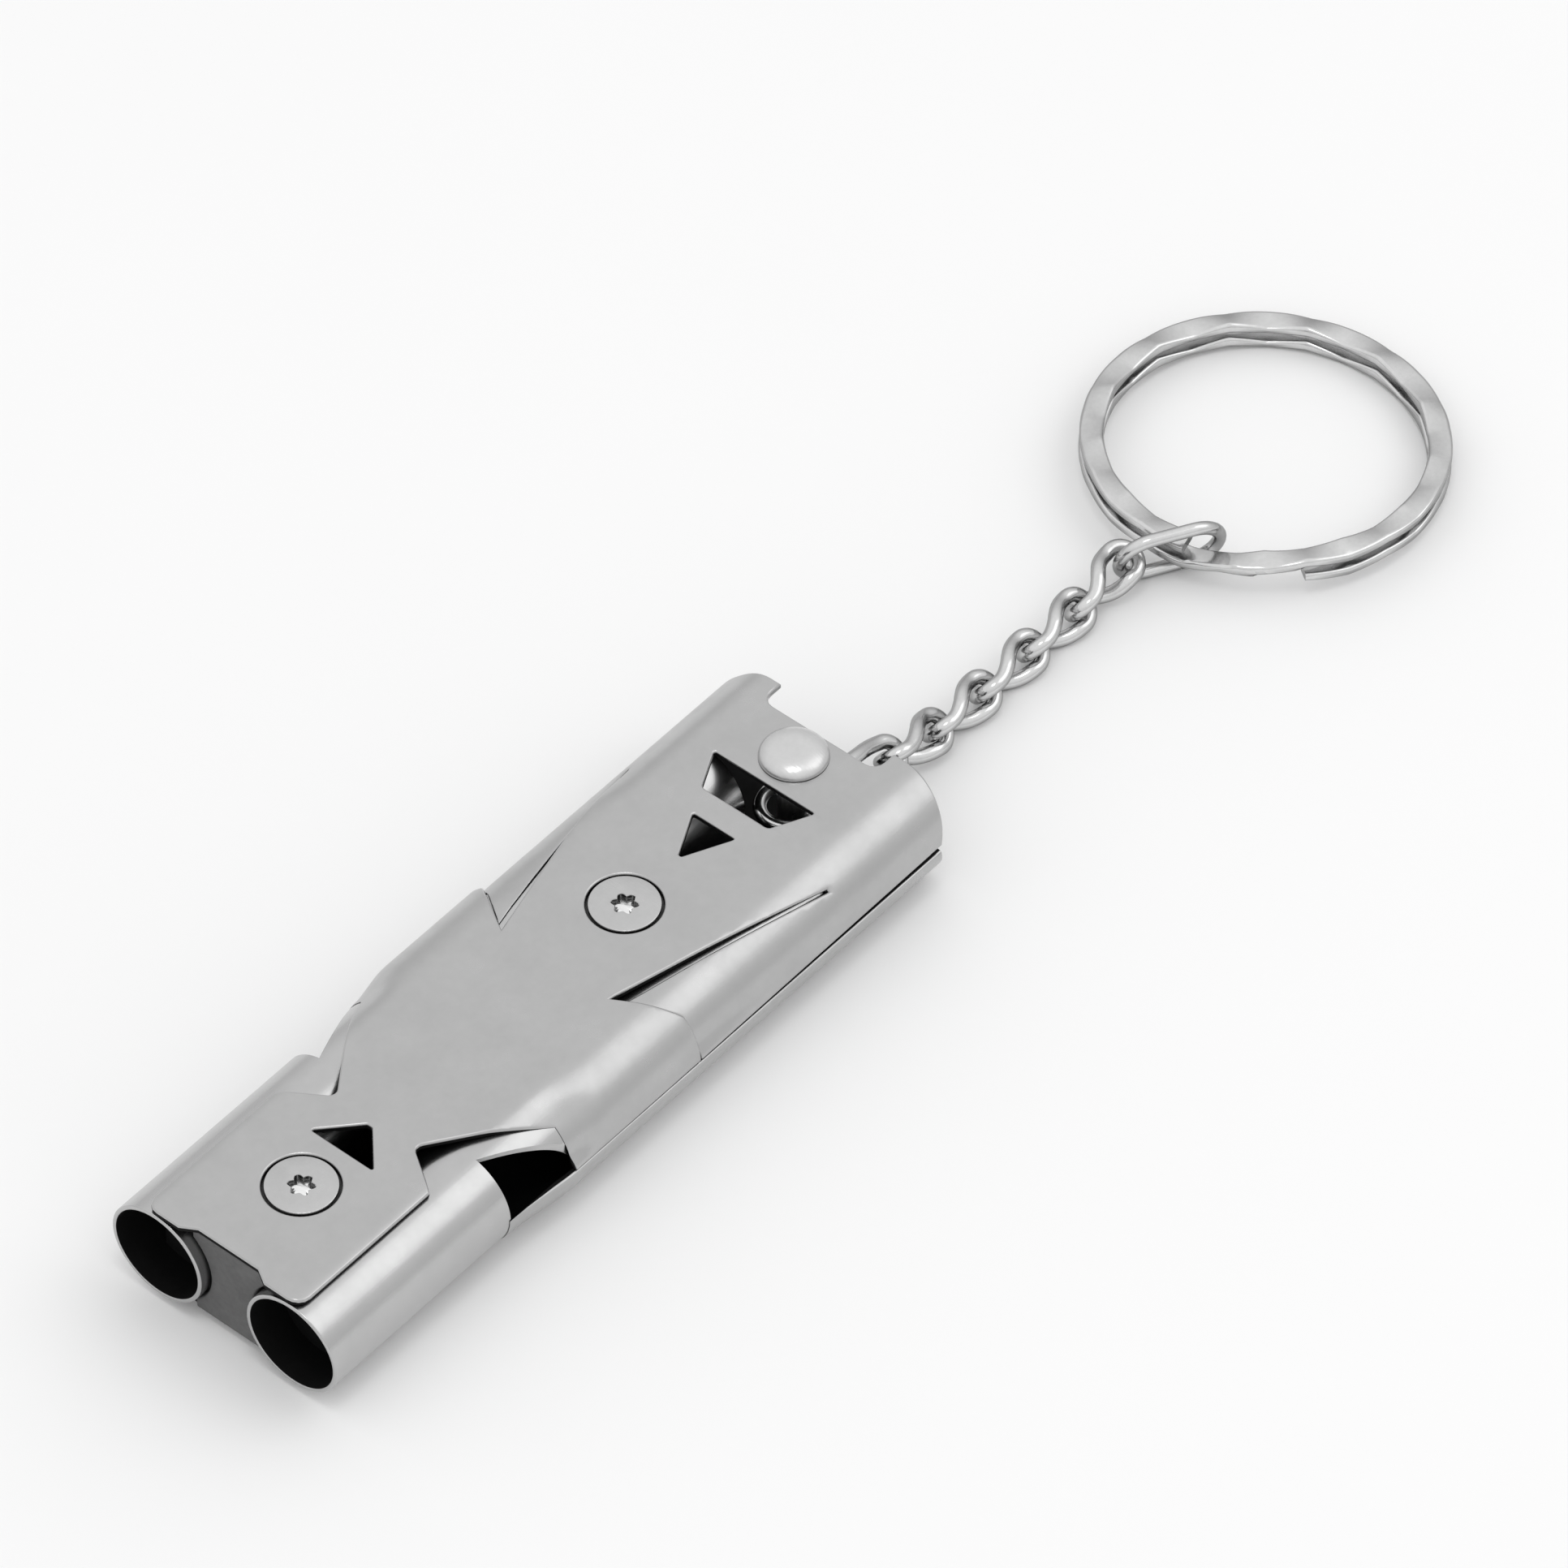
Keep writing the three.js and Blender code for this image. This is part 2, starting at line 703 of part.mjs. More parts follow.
// Measures the least distance between points of one coil and points of the other
function reportLeastGap(name, rings, apart) {
  let least = Infinity;
  rings.forEach((ring, i) => {
    rings.slice(i + apart).flat().forEach((other) => {
      ring.forEach((point) => {
        least = Math.min(least, point.distanceTo(other));
      });
    });
  });
  console.log(`${name}: least gap to itself ${least.toFixed(2)} mm`);
}

// Assembly

const whistle = new THREE.Group();
const laid = new THREE.Group();
laid.position.x = -bodyLength / 2;
whistle.add(laid);

function place(name, geometry, material, position) {
  const mesh = new THREE.Mesh(geometry, material);
  mesh.name = name;
  mesh.position.copy(position);
  laid.add(mesh);
  return mesh;
}

const at = (x, y, z) => new THREE.Vector3(x, y, z);
const heading = (angle) => at(Math.cos(angle), Math.sin(angle), 0);

place('front_cover', frontCover(), coverSteel, at(0, 0, 0));
place('back_cover', backCover(), coverSteel, at(0, 0, 0));

for (const [side, turn, stopInset] of [['near', Math.PI, nearStopInset], ['far', 0, farStopInset]]) {
  const axis = at(0, turn === 0 ? halfSpacing : -halfSpacing, midHeight);
  const pieces = [
    place(`${side}_tube`, pipe(), pipeSteel, axis),
    place(`${side}_windway_plug`, windwayPlug(), darkPlastic, axis),
    place(`${side}_end_plug`, endStop(stopInset), darkPlastic, axis),
  ];
  pieces.forEach((mesh) => {
    mesh.rotation.x = turn;
  });
}

for (const [name, block, x] of [['front', 'mouth', frontScrewX], ['middle', 'middle', middleScrewX]]) {
  place(`${block}_core`, core(), darkPlastic, at(x, 0, 0));
  place(`${name}_screw`, screw(), fastenerSteel, at(x, 0, bodyHeight));
  place(`${name}_nut`, nut(), fastenerSteel, at(x, 0, 0));
}

place('chain_rivet', rivet(), fastenerSteel, at(rivetX, 0, 0));

// The anchor link lies level round the rivet; each later link spans two joint points of the chain
const rivetMiddle = at(rivetX, 0, midHeight);
const anchorDirection = heading(anchorHeading);
const anchorMiddle = rivetMiddle.clone().addScaledVector(anchorDirection, anchorStraight / 2);
const anchorLoop = wireLoop(anchorRadius + anchorStraight / 2, anchorRadius, 0, 0);
place('anchor_link', anchorLoop, wireSteel, anchorMiddle).rotation.z = anchorHeading;

const curbLoop = wireLoop(linkHalfLength, linkHalfWidth, linkStartRoll, linkStartRoll + linkTwist);
const firstReach = anchorStraight + anchorRadius - linkReach / 2;
const joint = rivetMiddle.clone().addScaledVector(anchorDirection, firstReach);
for (let i = 0; i < linkCount; i++) {
  const atRing = i === linkCount - 1;
  const height = atRing ? connectorHeight : THREE.MathUtils.lerp(midHeight, linkRest, firstFalls[i] ?? 1);
  const drift = chainOffset - joint.y;
  const fall = joint.z - height;
  const run = Math.sqrt(linkPitch ** 2 - drift ** 2 - fall ** 2);
  const next = at(joint.x + run, chainOffset, height);
  const link = place(`chain_link_${i + 1}`, curbLoop, wireSteel, joint.clone().lerp(next, 0.5));
  const slope = Math.atan2(fall, Math.hypot(run, drift));
  link.rotation.set(firstRolls[i] ?? 0, slope, Math.atan2(drift, run), 'ZYX');
  joint.copy(next);
}

// The ring lies on the surface at its far side and is lifted by the upright connector at its near side
const connectorDirection = heading(connectorHeading);
const connectorStart = at(joint.x - linkReach / 2, joint.y, connectorHeight);
const connectorMiddle = connectorStart.clone().addScaledVector(connectorDirection, connectorHalfLength);
const connectorLoop = wireLoop(connectorHalfLength, connectorHalfWidth, connectorRoll, connectorRoll);
place('connector_link', connectorLoop, wireSteel, connectorMiddle).rotation.z = connectorHeading;

const ringSeat = connectorHalfLength - ringSetback;
const ringContact = connectorMiddle.clone().addScaledVector(connectorDirection, ringSeat);
const ringReach = ringRadius * Math.cos(ringTilt);
const ringCentre = ringContact.clone()
  .addScaledVector(heading(ringHeading), ringReach)
  .setZ(ringCentreHeight);
place('split_ring', splitRing(), wireSteel, ringCentre).rotation.set(0, ringTilt, ringHeading, 'ZYX');

export default whistle;
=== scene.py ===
"""Emergency whistle of two steel pipes between wrapped sheet covers, with its chain and key ring.

Every piece is modelled in millimetres, in mouth coordinates: X runs from the mouth edge along the
pipes, Y across them and Z up from the surface. It is moved to the frame's origin when it is added.
"""
import math
from types import SimpleNamespace

import bmesh
import bpy
from bpy.props import FloatProperty, FloatVectorProperty, IntProperty, PointerProperty
from bpy.types import Operator, Panel, PropertyGroup
from mathutils import Euler, Matrix, Vector


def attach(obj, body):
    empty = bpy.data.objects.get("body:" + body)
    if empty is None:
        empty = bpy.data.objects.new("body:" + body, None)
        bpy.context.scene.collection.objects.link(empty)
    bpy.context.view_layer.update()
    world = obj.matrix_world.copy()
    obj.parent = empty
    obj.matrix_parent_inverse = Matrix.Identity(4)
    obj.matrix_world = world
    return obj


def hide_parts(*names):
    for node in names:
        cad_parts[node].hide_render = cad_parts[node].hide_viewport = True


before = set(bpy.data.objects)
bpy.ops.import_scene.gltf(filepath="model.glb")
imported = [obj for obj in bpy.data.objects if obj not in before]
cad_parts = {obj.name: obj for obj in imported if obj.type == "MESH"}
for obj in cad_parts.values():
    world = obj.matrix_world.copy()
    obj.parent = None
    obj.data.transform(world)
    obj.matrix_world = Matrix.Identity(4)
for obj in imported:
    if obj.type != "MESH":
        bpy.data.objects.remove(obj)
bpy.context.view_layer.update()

bl_info = {
    "name": "Emergency whistle",
    "version": (1, 0, 0),
    "blender": (4, 5, 0),
    "location": "View3D > Sidebar > Whistle",
    "description": "Adds a twin-pipe emergency whistle with its chain and key ring",
    "category": "Add Mesh",
}

MM = 0.001
WELD = 1e-4
SHARP_ANGLE = math.radians(36)
FLAT_ANGLE = math.radians(1)


# Properties that a user would change

def length(name, description, millimetres):
    """A length, kept in metres and given in millimetres."""
    return FloatProperty(
        name=name, description=description, default=millimetres * MM, unit="LENGTH", precision=5)


def angle(name, description, degrees):
    """An angle, kept in radians and given in degrees."""
    return FloatProperty(
        name=name, description=description, default=math.radians(degrees), unit="ROTATION")


def share(name, description, value):
    """A plain number from 0 to 1."""
    return FloatProperty(name=name, description=description, default=value, min=0, max=1, subtype="FACTOR")


def colour(name, description, grey):
    """A neutral colour."""
    return FloatVectorProperty(
        name=name, description=description, default=(grey, grey, grey), size=3, min=0, max=1, subtype="COLOR")


class WhistleBody(PropertyGroup):
    """Sizes of the covers and the two pipes"""
    body_length: length("Body length", "From the mouth to the ring end", 54.8)
    pipe_spacing: length("Pipe spacing", "Between the axes of the two pipes", 10.4)
    pipe_radius: length("Pipe radius", "Outside radius of a pipe", 3.45)
    pipe_wall: length("Pipe wall", "Thickness of a pipe's wall", 0.3)
    pipe_length: length("Pipe length", "From the mouth to the pipe's closed end", 48.35)
    wrap_radius: length("Wrap radius", "Outside radius of the covers round a pipe", 4.0)
    sheet: length("Sheet", "Thickness of the cover sheet", 0.4)
    seam_gap: length("Seam gap", "Between the edges of the two covers", 0.12)
    edge_round: length("Edge rounding", "Rounding of the covers' cut edges", 0.16)
    lip_half_width: length("Lip half width", "Half the width of the covers' lip at the mouth", 6.0)
    lip_length: length("Lip length", "From the mouth to the first notch", 11.3)
    middle_tab_start: length("Middle tab start", "Where the front cover's middle tab begins", 20.5)
    back_tab_start: length("Back tab start", "Where the back cover's tab begins", 15.1)
    back_setback: length("Back setback", "From the mouth to the back cover's edge", 1.2)
    middle_tab_length: length("Middle tab length", "Length of the middle tab along the pipe", 11.1)
    end_tab_length: length("End tab length", "Length of the end tab along the pipe", 10.2)
    tab_root: length("Tab root", "Width on the flat sheet where the tabs begin", 8.1)
    window_start: length("Window start", "From the mouth to a pipe's side window", 15.2)
    window_length: length("Window length", "Length of a pipe's slanted side window", 6.3)
    window_floor: length("Window floor", "From the pipe axis to the deepest edge of the window", 0.85)
    tongue_press: length("Tongue press", "How far the tongue behind the slit is pressed in", 0.42)
    front_press: length("Front press", "How far a tab's front edge is pressed in", 0.48)
    front_press_length: length("Front press length", "Length over which the middle tab rises", 3.4)
    back_press_length: length("Back press length", "Length over which the back cover's tab rises", 5.8)
    far_end_press: length("Far end press", "How far the far end tab lies pressed in", 0.4)
    far_press_length: length("Far press length", "Length over which the far end tab sinks", 6.0)
    far_rim_drop: length("Far rim drop", "How much lower the back cover's far tab begins", 2.6)
    far_rim_length: length("Far rim length", "Length over which the far tab's rim rises", 5.5)


class WhistleFasteners(PropertyGroup):
    """Sizes and places of the screws, the nuts and the rivet"""
    front_screw: length("Front screw", "From the mouth to the front screw", 6.9)
    middle_screw: length("Middle screw", "From the mouth to the middle screw", 35.4)
    head_radius: length("Head radius", "Radius of a screw's flush head", 2.2)
    head_gap: length("Head gap", "Groove round a screw's head", 0.15)
    lobe_radius: length("Lobe radius", "Middle radius of the six-lobe recess", 0.76)
    lobe_depth: length("Lobe depth", "How far the lobes swing out and in", 0.12)
    recess_depth: length("Recess depth", "Depth of the six-lobe recess", 0.42)
    recess_rise: length("Recess rise", "How far the recess floor highlight is dished", 0.12)
    rivet_inset: length("Rivet inset", "From the ring end to the rivet", 4.0)
    dome_radius: length("Dome radius", "Radius of the rivet's head", 2.15)
    dome_height: length("Dome height", "Height of the rivet's head", 0.85)


class WhistleChain(PropertyGroup):
    """Sizes and lie of the chain"""
    wire: length("Wire", "Thickness of the rivet's link and the connector", 0.85)
    link_wire: length("Link wire", "Thickness of the twisted links' wire", 0.95)
    link_gap: length("Link gap", "Play between two links", 0.4)
    link_pitch: length("Link pitch", "From joint to joint", 4.5)
    lie_half_width: length("Lie half width", "Half width of link that the chain's lie comes from", 1.2)
    lie_roll: angle("Lie roll", "Turn of link that the chain's lie comes from", -65)
    link_half_width: length("Link half width", "From a link's middle to its wire", 1.06)
    link_roll: angle("Link roll", "Turn of a link's first end about the chain", 130)
    link_end_roll: angle("Link end roll", "Turn of a link's second end about the chain", 45)
    first_roll: angle("First roll", "Turn of the chain's first end, at the rivet's link", 90)
    last_roll: angle("Last roll", "Turn of the chain's last end, at the connector", 25)
    chain_slack: length("Chain slack", "How far the chain lies pushed together towards the rivet", 0.5)
    anchor_straight: length("Anchor straight", "Straight part of the link round the rivet", 2.5)
    anchor_heading: angle("Anchor heading", "Direction of the link round the rivet", -12)
    chain_offset: length("Chain offset", "Where the chain lies beside the body's middle", -1.5)
    link_count: IntProperty(name="Links", description="Number of twisted links", default=6, min=1)
    connector_heading: angle("Connector heading", "Direction of the link at the ring", -34)
    connector_roll: angle("Connector roll", "Turn of the link at the ring about itself", 105)
    connector_slack: length("Connector slack", "Play of the ring across the connector", 0.3)
    connector_room: length("Connector room", "Play of the ring along the connector", 0.9)
    connector_split: length("Connector split", "Gap between the connector's wire ends", 0.14)


class WhistleRing(PropertyGroup):
    """Sizes and lie of the split key ring"""
    diameter: length("Diameter", "Outside diameter of the ring", 23.0)
    wire_width: length("Wire width", "Width of the flat wire", 1.5)
    wire_height: length("Wire height", "Height of the flat wire", 0.7)
    wire_round: length("Wire rounding", "Rounding of the wire's edges", 0.22)
    coil_gap: length("Coil gap", "Between the two coils", 0.45)
    end_lead: angle("End lead", "From the chain to the wire's upper end", 2)
    crossing: angle("Crossing", "Turn over which the wire changes coil", 39)
    tilt: angle("Tilt", "How far the ring leans up to the chain", 3.6)
    heading: angle("Heading", "Direction from the chain to the ring's middle", 10)
    facets: IntProperty(name="Facets", description="Hammered facets round the ring", default=13, min=3)
    facet_turn: angle("Facet turn", "How far a hammered facet leans", 15)
    facet_dent: length("Facet dent", "Depth of a hammered facet", 0.09)


class WhistleFinish(PropertyGroup):
    """Colours and surfaces"""
    cover_colour: colour("Cover steel", "Colour of the satin covers", 0.47)
    pipe_colour: colour("Pipe steel", "Colour of the drawn pipes", 0.5)
    fastener_colour: colour("Fastener steel", "Colour of the screws, nuts and rivet", 0.52)
    # Lighter than the other fasteners: the polished rivet's steel with a painted sheen
    rivet_colour: colour("Rivet steel with painted sheen", "Colour of the polished rivet", 0.64)
    # Painted shade on the walls of a screw's recess
    recess_shade: colour("Recess shade", "Colour of the shaded walls of a screw's recess", 0.1)
    # Painted highlight on the dished floor of a screw's recess
    recess_highlight_colour: colour("Recess highlight", "Colour of the bright floor of a screw's recess", 0.85)
    wire_colour: colour("Wire steel", "Colour of the chain and ring", 0.66)
    # Painted shade on the wire where it turns away from the eye
    wire_shade: colour("Wire shade", "Share of the wire's colour left where it turns away", 0.24)
    # Only the blocks take this colour; the plugs take the painted shade of the inside steel
    block_colour: colour("Dark blocks", "Colour of the plastic blocks and plugs", 0.1)
    # Painted shade: near-black colour for the steel inside the body and in its cuts
    inside_shade_colour: colour("Painted inside shade", "Colour of the steel inside the body", 0.006)
    cover_roughness: share("Cover roughness", "Roughness of the satin covers", 0.3)
    pipe_roughness: share("Pipe roughness", "Roughness of the drawn pipes", 0.24)
    wire_roughness: share("Wire roughness", "Roughness of the chain and ring", 0.18)


class WhistleStage(PropertyGroup):
    """Camera, light and floor"""
    azimuth: angle("Azimuth", "Camera's turn about the upright", -49.779)
    elevation: angle("Elevation", "Camera's height above the horizon", 47.481)
    distance: length("Distance", "From the camera to what it looks at", 706.992)
    shift_right: length("Look right", "How far right of the body's middle the camera looks", 14.781)
    shift_up: length("Look up", "How far above the body's middle the camera looks", 14.427)
    lens: FloatProperty(name="Lens", description="Focal length in millimetres", default=276.86, min=1)
    floor_size: length("Floor size", "Side of the floor", 1600)
    floor_colour: colour("Floor", "Colour of the pale floor", 0.93)
    key_power: FloatProperty(name="Key lamp", description="Power of the side lamp", default=0.42, min=0)
    fill_power: FloatProperty(name="Fill lamp", description="Power of the top lamp", default=0.58, min=0)


def in_millimetres(group):
    """The group's values with every length in millimetres."""
    values = {}
    for name in type(group).__annotations__:
        value = getattr(group, name)
        is_length = getattr(group.bl_rna.properties[name], "unit", "") == "LENGTH"
        values[name] = value / MM if is_length else value
    return SimpleNamespace(**values)


# Screws, nuts and rivet: smaller sizes in millimetres, and shares of a rounding or a curve
SCREW_LAND = 0.15
SCREW_SHANK = 0.9
SCREW_TIP_HEIGHT = 1.0
HEAD_ROUND = 0.1
HEAD_EASE = 0.3
RECESS = SimpleNamespace(lobes=6, rim=0.05, wall=0.08, floor=0.3)
NUDGE = 0.001
NUT_CONE_HEIGHT = 0.9
NUT_BARREL = 1.6
NUT_HEIGHT = 1.6
NUT_FLOOR = 0.65
RIVET_SHANK = 1.0
RIVET_TAIL = 1.45
RIVET_SEAT = 0.05
DOME_FULLNESS = 0.75
FIT_GAP = 0.3

# Covers, pipes and blocks: smaller sizes in millimetres, places along X from the mouth
MOUTH_RECESS = SimpleNamespace(depth=0.6, half_width=2.3, slope=1.0)
LIP_ROUND = 1.0
FRONT_NOTCH = SimpleNamespace(x=13.3, width=3.0)
NOTCH_ROUND = 0.5
REAR_SLIT = SimpleNamespace(x=29.2, width=4.2, gap=0.5, end_gap=0.15, cross_gap=0.08)
END_RECESS = SimpleNamespace(depth=1.7, half_width=4.4, rounding=0.8)
END_RAKE = 1.3
RAKE_LENGTH = 3.0
END_SEAM = 0.2
MOUTH_TRIANGLE = SimpleNamespace(base=10.4, length=2.6, half_width=2.4)
SPLIT_TRIANGLE = SimpleNamespace(setback=2.7, length=7.9, half_width=3.9, window=2.7, bar=1.9)
CUTOUT_ROUND = 0.2
BLUNT = 0.2
RIVET_HOLE = 1.3
RIVET_HOLE_BACK = 1.75
RELEASE_WIDTH = 10.3
SKIN = 0.02
OVERSHOOT = 2.0
BLOCK_ROUND = 0.12

# Chain: how far the first joints have come down to the others, and where the connector is split
FIRST_FALLS = (0.44, 0.9)
CONNECTOR_SPLIT_PLACE = 0.9

# Fineness: numbers of steps, and the step of a pressed stretch in millimetres
BEND_STRIPS = 18
PRESS_STEP = 0.4
HOLE_STEPS = 28
CORNER_STEPS = 4
EDGE_STEPS = 3
PIPE_STEPS = 112
TURN_STEPS = 72
DOME_STEPS = 16
WIRE_SIDES = 20
LOOP_ARC_STEPS = 26
LOOP_STRAIGHT_STEPS = 20
RING_STEPS = 260
CROSSING_STEPS = 24

# Share of a face's normal past which it lies level, looks along the pipes or looks to a pipe's axis,
# and under which it stands upright
LEVEL = 0.5
ALONG = 0.9
INWARD = 0.7
UPRIGHT = 0.2

# Depth of the grain in metres, and the numbers of a Mix node's sockets, which share their names
RELIEF = 0.00002
FACTOR = 0
FIRST_VALUE = 2
SECOND_VALUE = 3
FIRST_COLOUR = 6
SECOND_COLOUR = 7
MIXED_COLOUR = 2

# Stage: lamps and the camera's reach in metres, the rest as shares and millimetres
SIDE_LAMP = SimpleNamespace(name="Side lamp", size=0.45, place=(0.36, -0.3, 0.54))
TOP_LAMP = SimpleNamespace(name="Top lamp", size=0.2, place=(-0.14, -0.12, 0.8))
HORIZON = SimpleNamespace(low=0.1, high=0.65, grey=0.76)
AMBIENT = 0.9
SENSOR_WIDTH = 36
CAMERA_REACH = (0.01, 10)
LOOK_AHEAD = -0.4


# Adding pieces

def all_of(bm):
    """Every vertex, edge and face."""
    return bm.verts[:] + bm.edges[:] + bm.faces[:]


def add_piece(bm, name, body, nodes, materials, place=Matrix.Identity(4)):
    """Welds the shape, moves it to its place in the frame and puts it on its body."""
    half = in_millimetres(bpy.context.scene.whistle_body).body_length / 2
    bmesh.ops.remove_doubles(bm, verts=bm.verts, dist=WELD)
    bmesh.ops.recalc_face_normals(bm, faces=bm.faces)
    to_frame = Matrix.Scale(MM, 4) @ Matrix.Translation((-half, 0, 0)) @ place
    bmesh.ops.transform(bm, matrix=to_frame, verts=bm.verts)
    mesh = bpy.data.meshes.new(name)
    bm.to_mesh(mesh)
    bm.free()
    for polygon in mesh.polygons:
        polygon.use_smooth = True
    mesh.set_sharp_from_angle(angle=SHARP_ANGLE)
    for material in materials:
        mesh.materials.append(material)
    piece = bpy.data.objects.new(name, mesh)
    bpy.context.scene.collection.objects.link(piece)
    normals = piece.modifiers.new("Weighted normals", "WEIGHTED_NORMAL")
    normals.keep_sharp = True
    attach(piece, body)
    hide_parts(*nodes)
    return piece


def cut_away(bm, tool):
    """Takes the closed shape of the tool out of a closed shape."""
    solids = []
    for shape in (bm, tool):
        mesh = bpy.data.meshes.new("Solid")
        bmesh.ops.recalc_face_normals(shape, faces=shape.faces)
        shape.to_mesh(mesh)
        shape.free()
        solid = bpy.data.objects.new("Solid", mesh)
        bpy.context.scene.collection.objects.link(solid)
        solids.append(solid)
    modifier = solids[0].modifiers.new("Cut", "BOOLEAN")
    modifier.operation = "DIFFERENCE"
    modifier.solver = "EXACT"
    modifier.object = solids[1]
    graph = bpy.context.evaluated_depsgraph_get()
    left = bpy.data.meshes.new_from_object(solids[0].evaluated_get(graph))
    result = bmesh.new()
    result.from_mesh(left)
    bpy.data.meshes.remove(left)
    for solid in solids:
        bpy.data.meshes.remove(solid.data)
    return result


def round_corners(bm, corners, offset):
    """Rounds corners of a flat outline."""
    bmesh.ops.bevel(
        bm, geom=corners, offset=offset, offset_type="OFFSET", affect="VERTICES", segments=CORNER_STEPS,
        profile=0.5, clamp_overlap=False, material=-1)


def round_edges(bm, edges, offset):
    """Rounds edges of a solid."""
    bmesh.ops.bevel(
        bm, geom=edges, offset=offset, offset_type="OFFSET", affect="EDGES", segments=EDGE_STEPS,
        profile=0.5, clamp_overlap=False, material=-1)


def turned(profile, steps):
    """A shape turned about Z from a chain of (radius, height) points."""
    bm = bmesh.new()
    points = [bm.verts.new((radius, 0, height)) for radius, height in profile]
    for first, second in zip(points, points[1:]):
        bm.edges.new((first, second))
    bmesh.ops.spin(
        bm, geom=bm.verts[:] + bm.edges[:], cent=(0, 0, 0), axis=(0, 0, 1), angle=math.tau, steps=steps,
        use_merge=True)
    bmesh.ops.remove_doubles(bm, verts=bm.verts, dist=WELD)
    return bm


def prism(outline, low, high):
    """A flat outline raised along Z."""
    bm = bmesh.new()
    bm.faces.new([bm.verts.new((x, y, low)) for x, y in outline])
    raised = bmesh.ops.extrude_face_region(bm, geom=bm.faces[:])
    tops = [item for item in raised["geom"] if isinstance(item, bmesh.types.BMVert)]
    bmesh.ops.translate(bm, verts=tops, vec=(0, 0, high - low))
    return bm


# Covers

def rim_width(body):
    """Half the width of the flat sheet, out to the seam between the covers."""
    quarter = math.pi / 2 - math.asin(body.seam_gap / 2 / body.wrap_radius)
    return body.pipe_spacing / 2 + body.wrap_radius * quarter


def eased(value):
    """A smooth step from 0 to 1."""
    value = min(max(value, 0), 1)
    return value * value * (3 - 2 * value)


def half_hole(x, radius):
    """Half a round hole on the sheet's middle line."""
    turns = [math.pi * (1 - step / HOLE_STEPS) for step in range(HOLE_STEPS + 1)]
    return [(x + radius * math.cos(turn), radius * math.sin(turn), 0) for turn in turns]


def blunt_apex(x, inward, slope):
    """The two points of a cut-out's blunted tip on the middle line, the outer one last."""
    tip = x + inward * BLUNT
    return [(tip, 0, 0), (tip, slope * BLUNT, CUTOUT_ROUND / 3)]


def cutouts(body, fasteners):
    """Half outlines of the triangles and the window in the front sheet, from mouth to ring end."""
    triangle = MOUTH_TRIANGLE
    slope = triangle.half_width / triangle.length
    mouth = [
        (triangle.base, 0, 0),
        (triangle.base, triangle.half_width, CUTOUT_ROUND),
        *reversed(blunt_apex(triangle.base + triangle.length, -1, slope)),
    ]
    split = SPLIT_TRIANGLE
    base = body.body_length - fasteners.rivet_inset - split.setback
    apex = base - split.length
    rear = base - split.window
    front = rear - split.bar
    slope = split.half_width / split.length
    small = [
        *blunt_apex(apex, 1, slope),
        (front, slope * (front - apex), CUTOUT_ROUND),
        (front, 0, 0),
    ]
    window = [
        (rear, 0, 0),
        (rear, slope * (rear - apex), CUTOUT_ROUND),
        (base, split.half_width, CUTOUT_ROUND),
        (base, 0, 0),
    ]
    return mouth, small, window


def slit_span(body):
    """Where the middle tab ends and where the slit behind it ends."""
    return body.middle_tab_start + body.middle_tab_length, body.body_length - body.end_tab_length


def rear_slit(body, rim):
    """The slit that frees a tongue of the sheet, slanted along the plate and across behind the middle tab."""
    tab_end, slit_end = slit_span(body)
    tip = Vector((REAR_SLIT.x, REAR_SLIT.width))
    slant = (Vector((slit_end, body.tab_root)) - tip).normalized()
    across = (Vector((tab_end, body.tab_root)) - tip).normalized()
    spread = slant.cross(across)
    inner = tip + slant * (REAR_SLIT.cross_gap / spread) + across * (REAR_SLIT.gap / spread)
    tongue_x = tab_end + REAR_SLIT.cross_gap
    corner = inner + across * ((tongue_x - inner.x) / across.x)
    return [
        (tongue_x, rim, 0),
        (corner.x, corner.y, 0),
        (inner.x, inner.y, 0),
        (slit_end, body.tab_root + REAR_SLIT.end_gap, 0),
        (slit_end, body.tab_root, 0),
        (tip.x, tip.y, 0),
        (tab_end, body.tab_root, 0),
        (tab_end, rim, 0),
    ]


def half_blank(body, fasteners, front, side):
    """A cover's flat sheet on one side as (x, width, corner rounding), middle line first.

    The near side is -1 and the far side 1.
    """
    seat = fasteners.head_radius + fasteners.head_gap
    rivet = body.body_length - fasteners.rivet_inset
    rim = rim_width(body)
    end = body.body_length
    first_seat = half_hole(fasteners.front_screw, seat)
    second_seat = half_hole(fasteners.middle_screw, seat)
    if front:
        tab_start = body.middle_tab_start
        mouth, small, window = cutouts(body, fasteners)
        middle = [*first_seat, *mouth, *second_seat, *small, *window, *half_hole(rivet, RIVET_HOLE)]
        slit = rear_slit(body, rim)
        lip = [
            (0, body.lip_half_width, LIP_ROUND),
            (0, MOUTH_RECESS.half_width + MOUTH_RECESS.slope, 0),
            (MOUTH_RECESS.depth, MOUTH_RECESS.half_width, 0),
            (MOUTH_RECESS.depth, 0, 0),
        ]
    else:
        tab_start = body.back_tab_start
        middle = [*first_seat, *second_seat, *half_hole(rivet, RIVET_HOLE_BACK)]
        slit = []
        lip = [(body.back_setback, body.lip_half_width, 0), (body.back_setback, 0, 0)]
    drop = body.far_rim_drop if side > 0 and not front else 0
    return [
        *middle,
        (end - END_RECESS.depth, 0, 0),
        (end - END_RECESS.depth, END_RECESS.half_width, END_RECESS.rounding),
        (end, END_RECESS.half_width, 0),
        (end, rim - END_SEAM, 0),
        *slit,
        (tab_start + body.far_rim_length, rim, 0),
        (tab_start, rim - drop, 0),
        (tab_start, body.tab_root, 0),
        (FRONT_NOTCH.x, FRONT_NOTCH.width, NOTCH_ROUND),
        (body.lip_length, body.lip_half_width, 0),
        *lip,
    ]


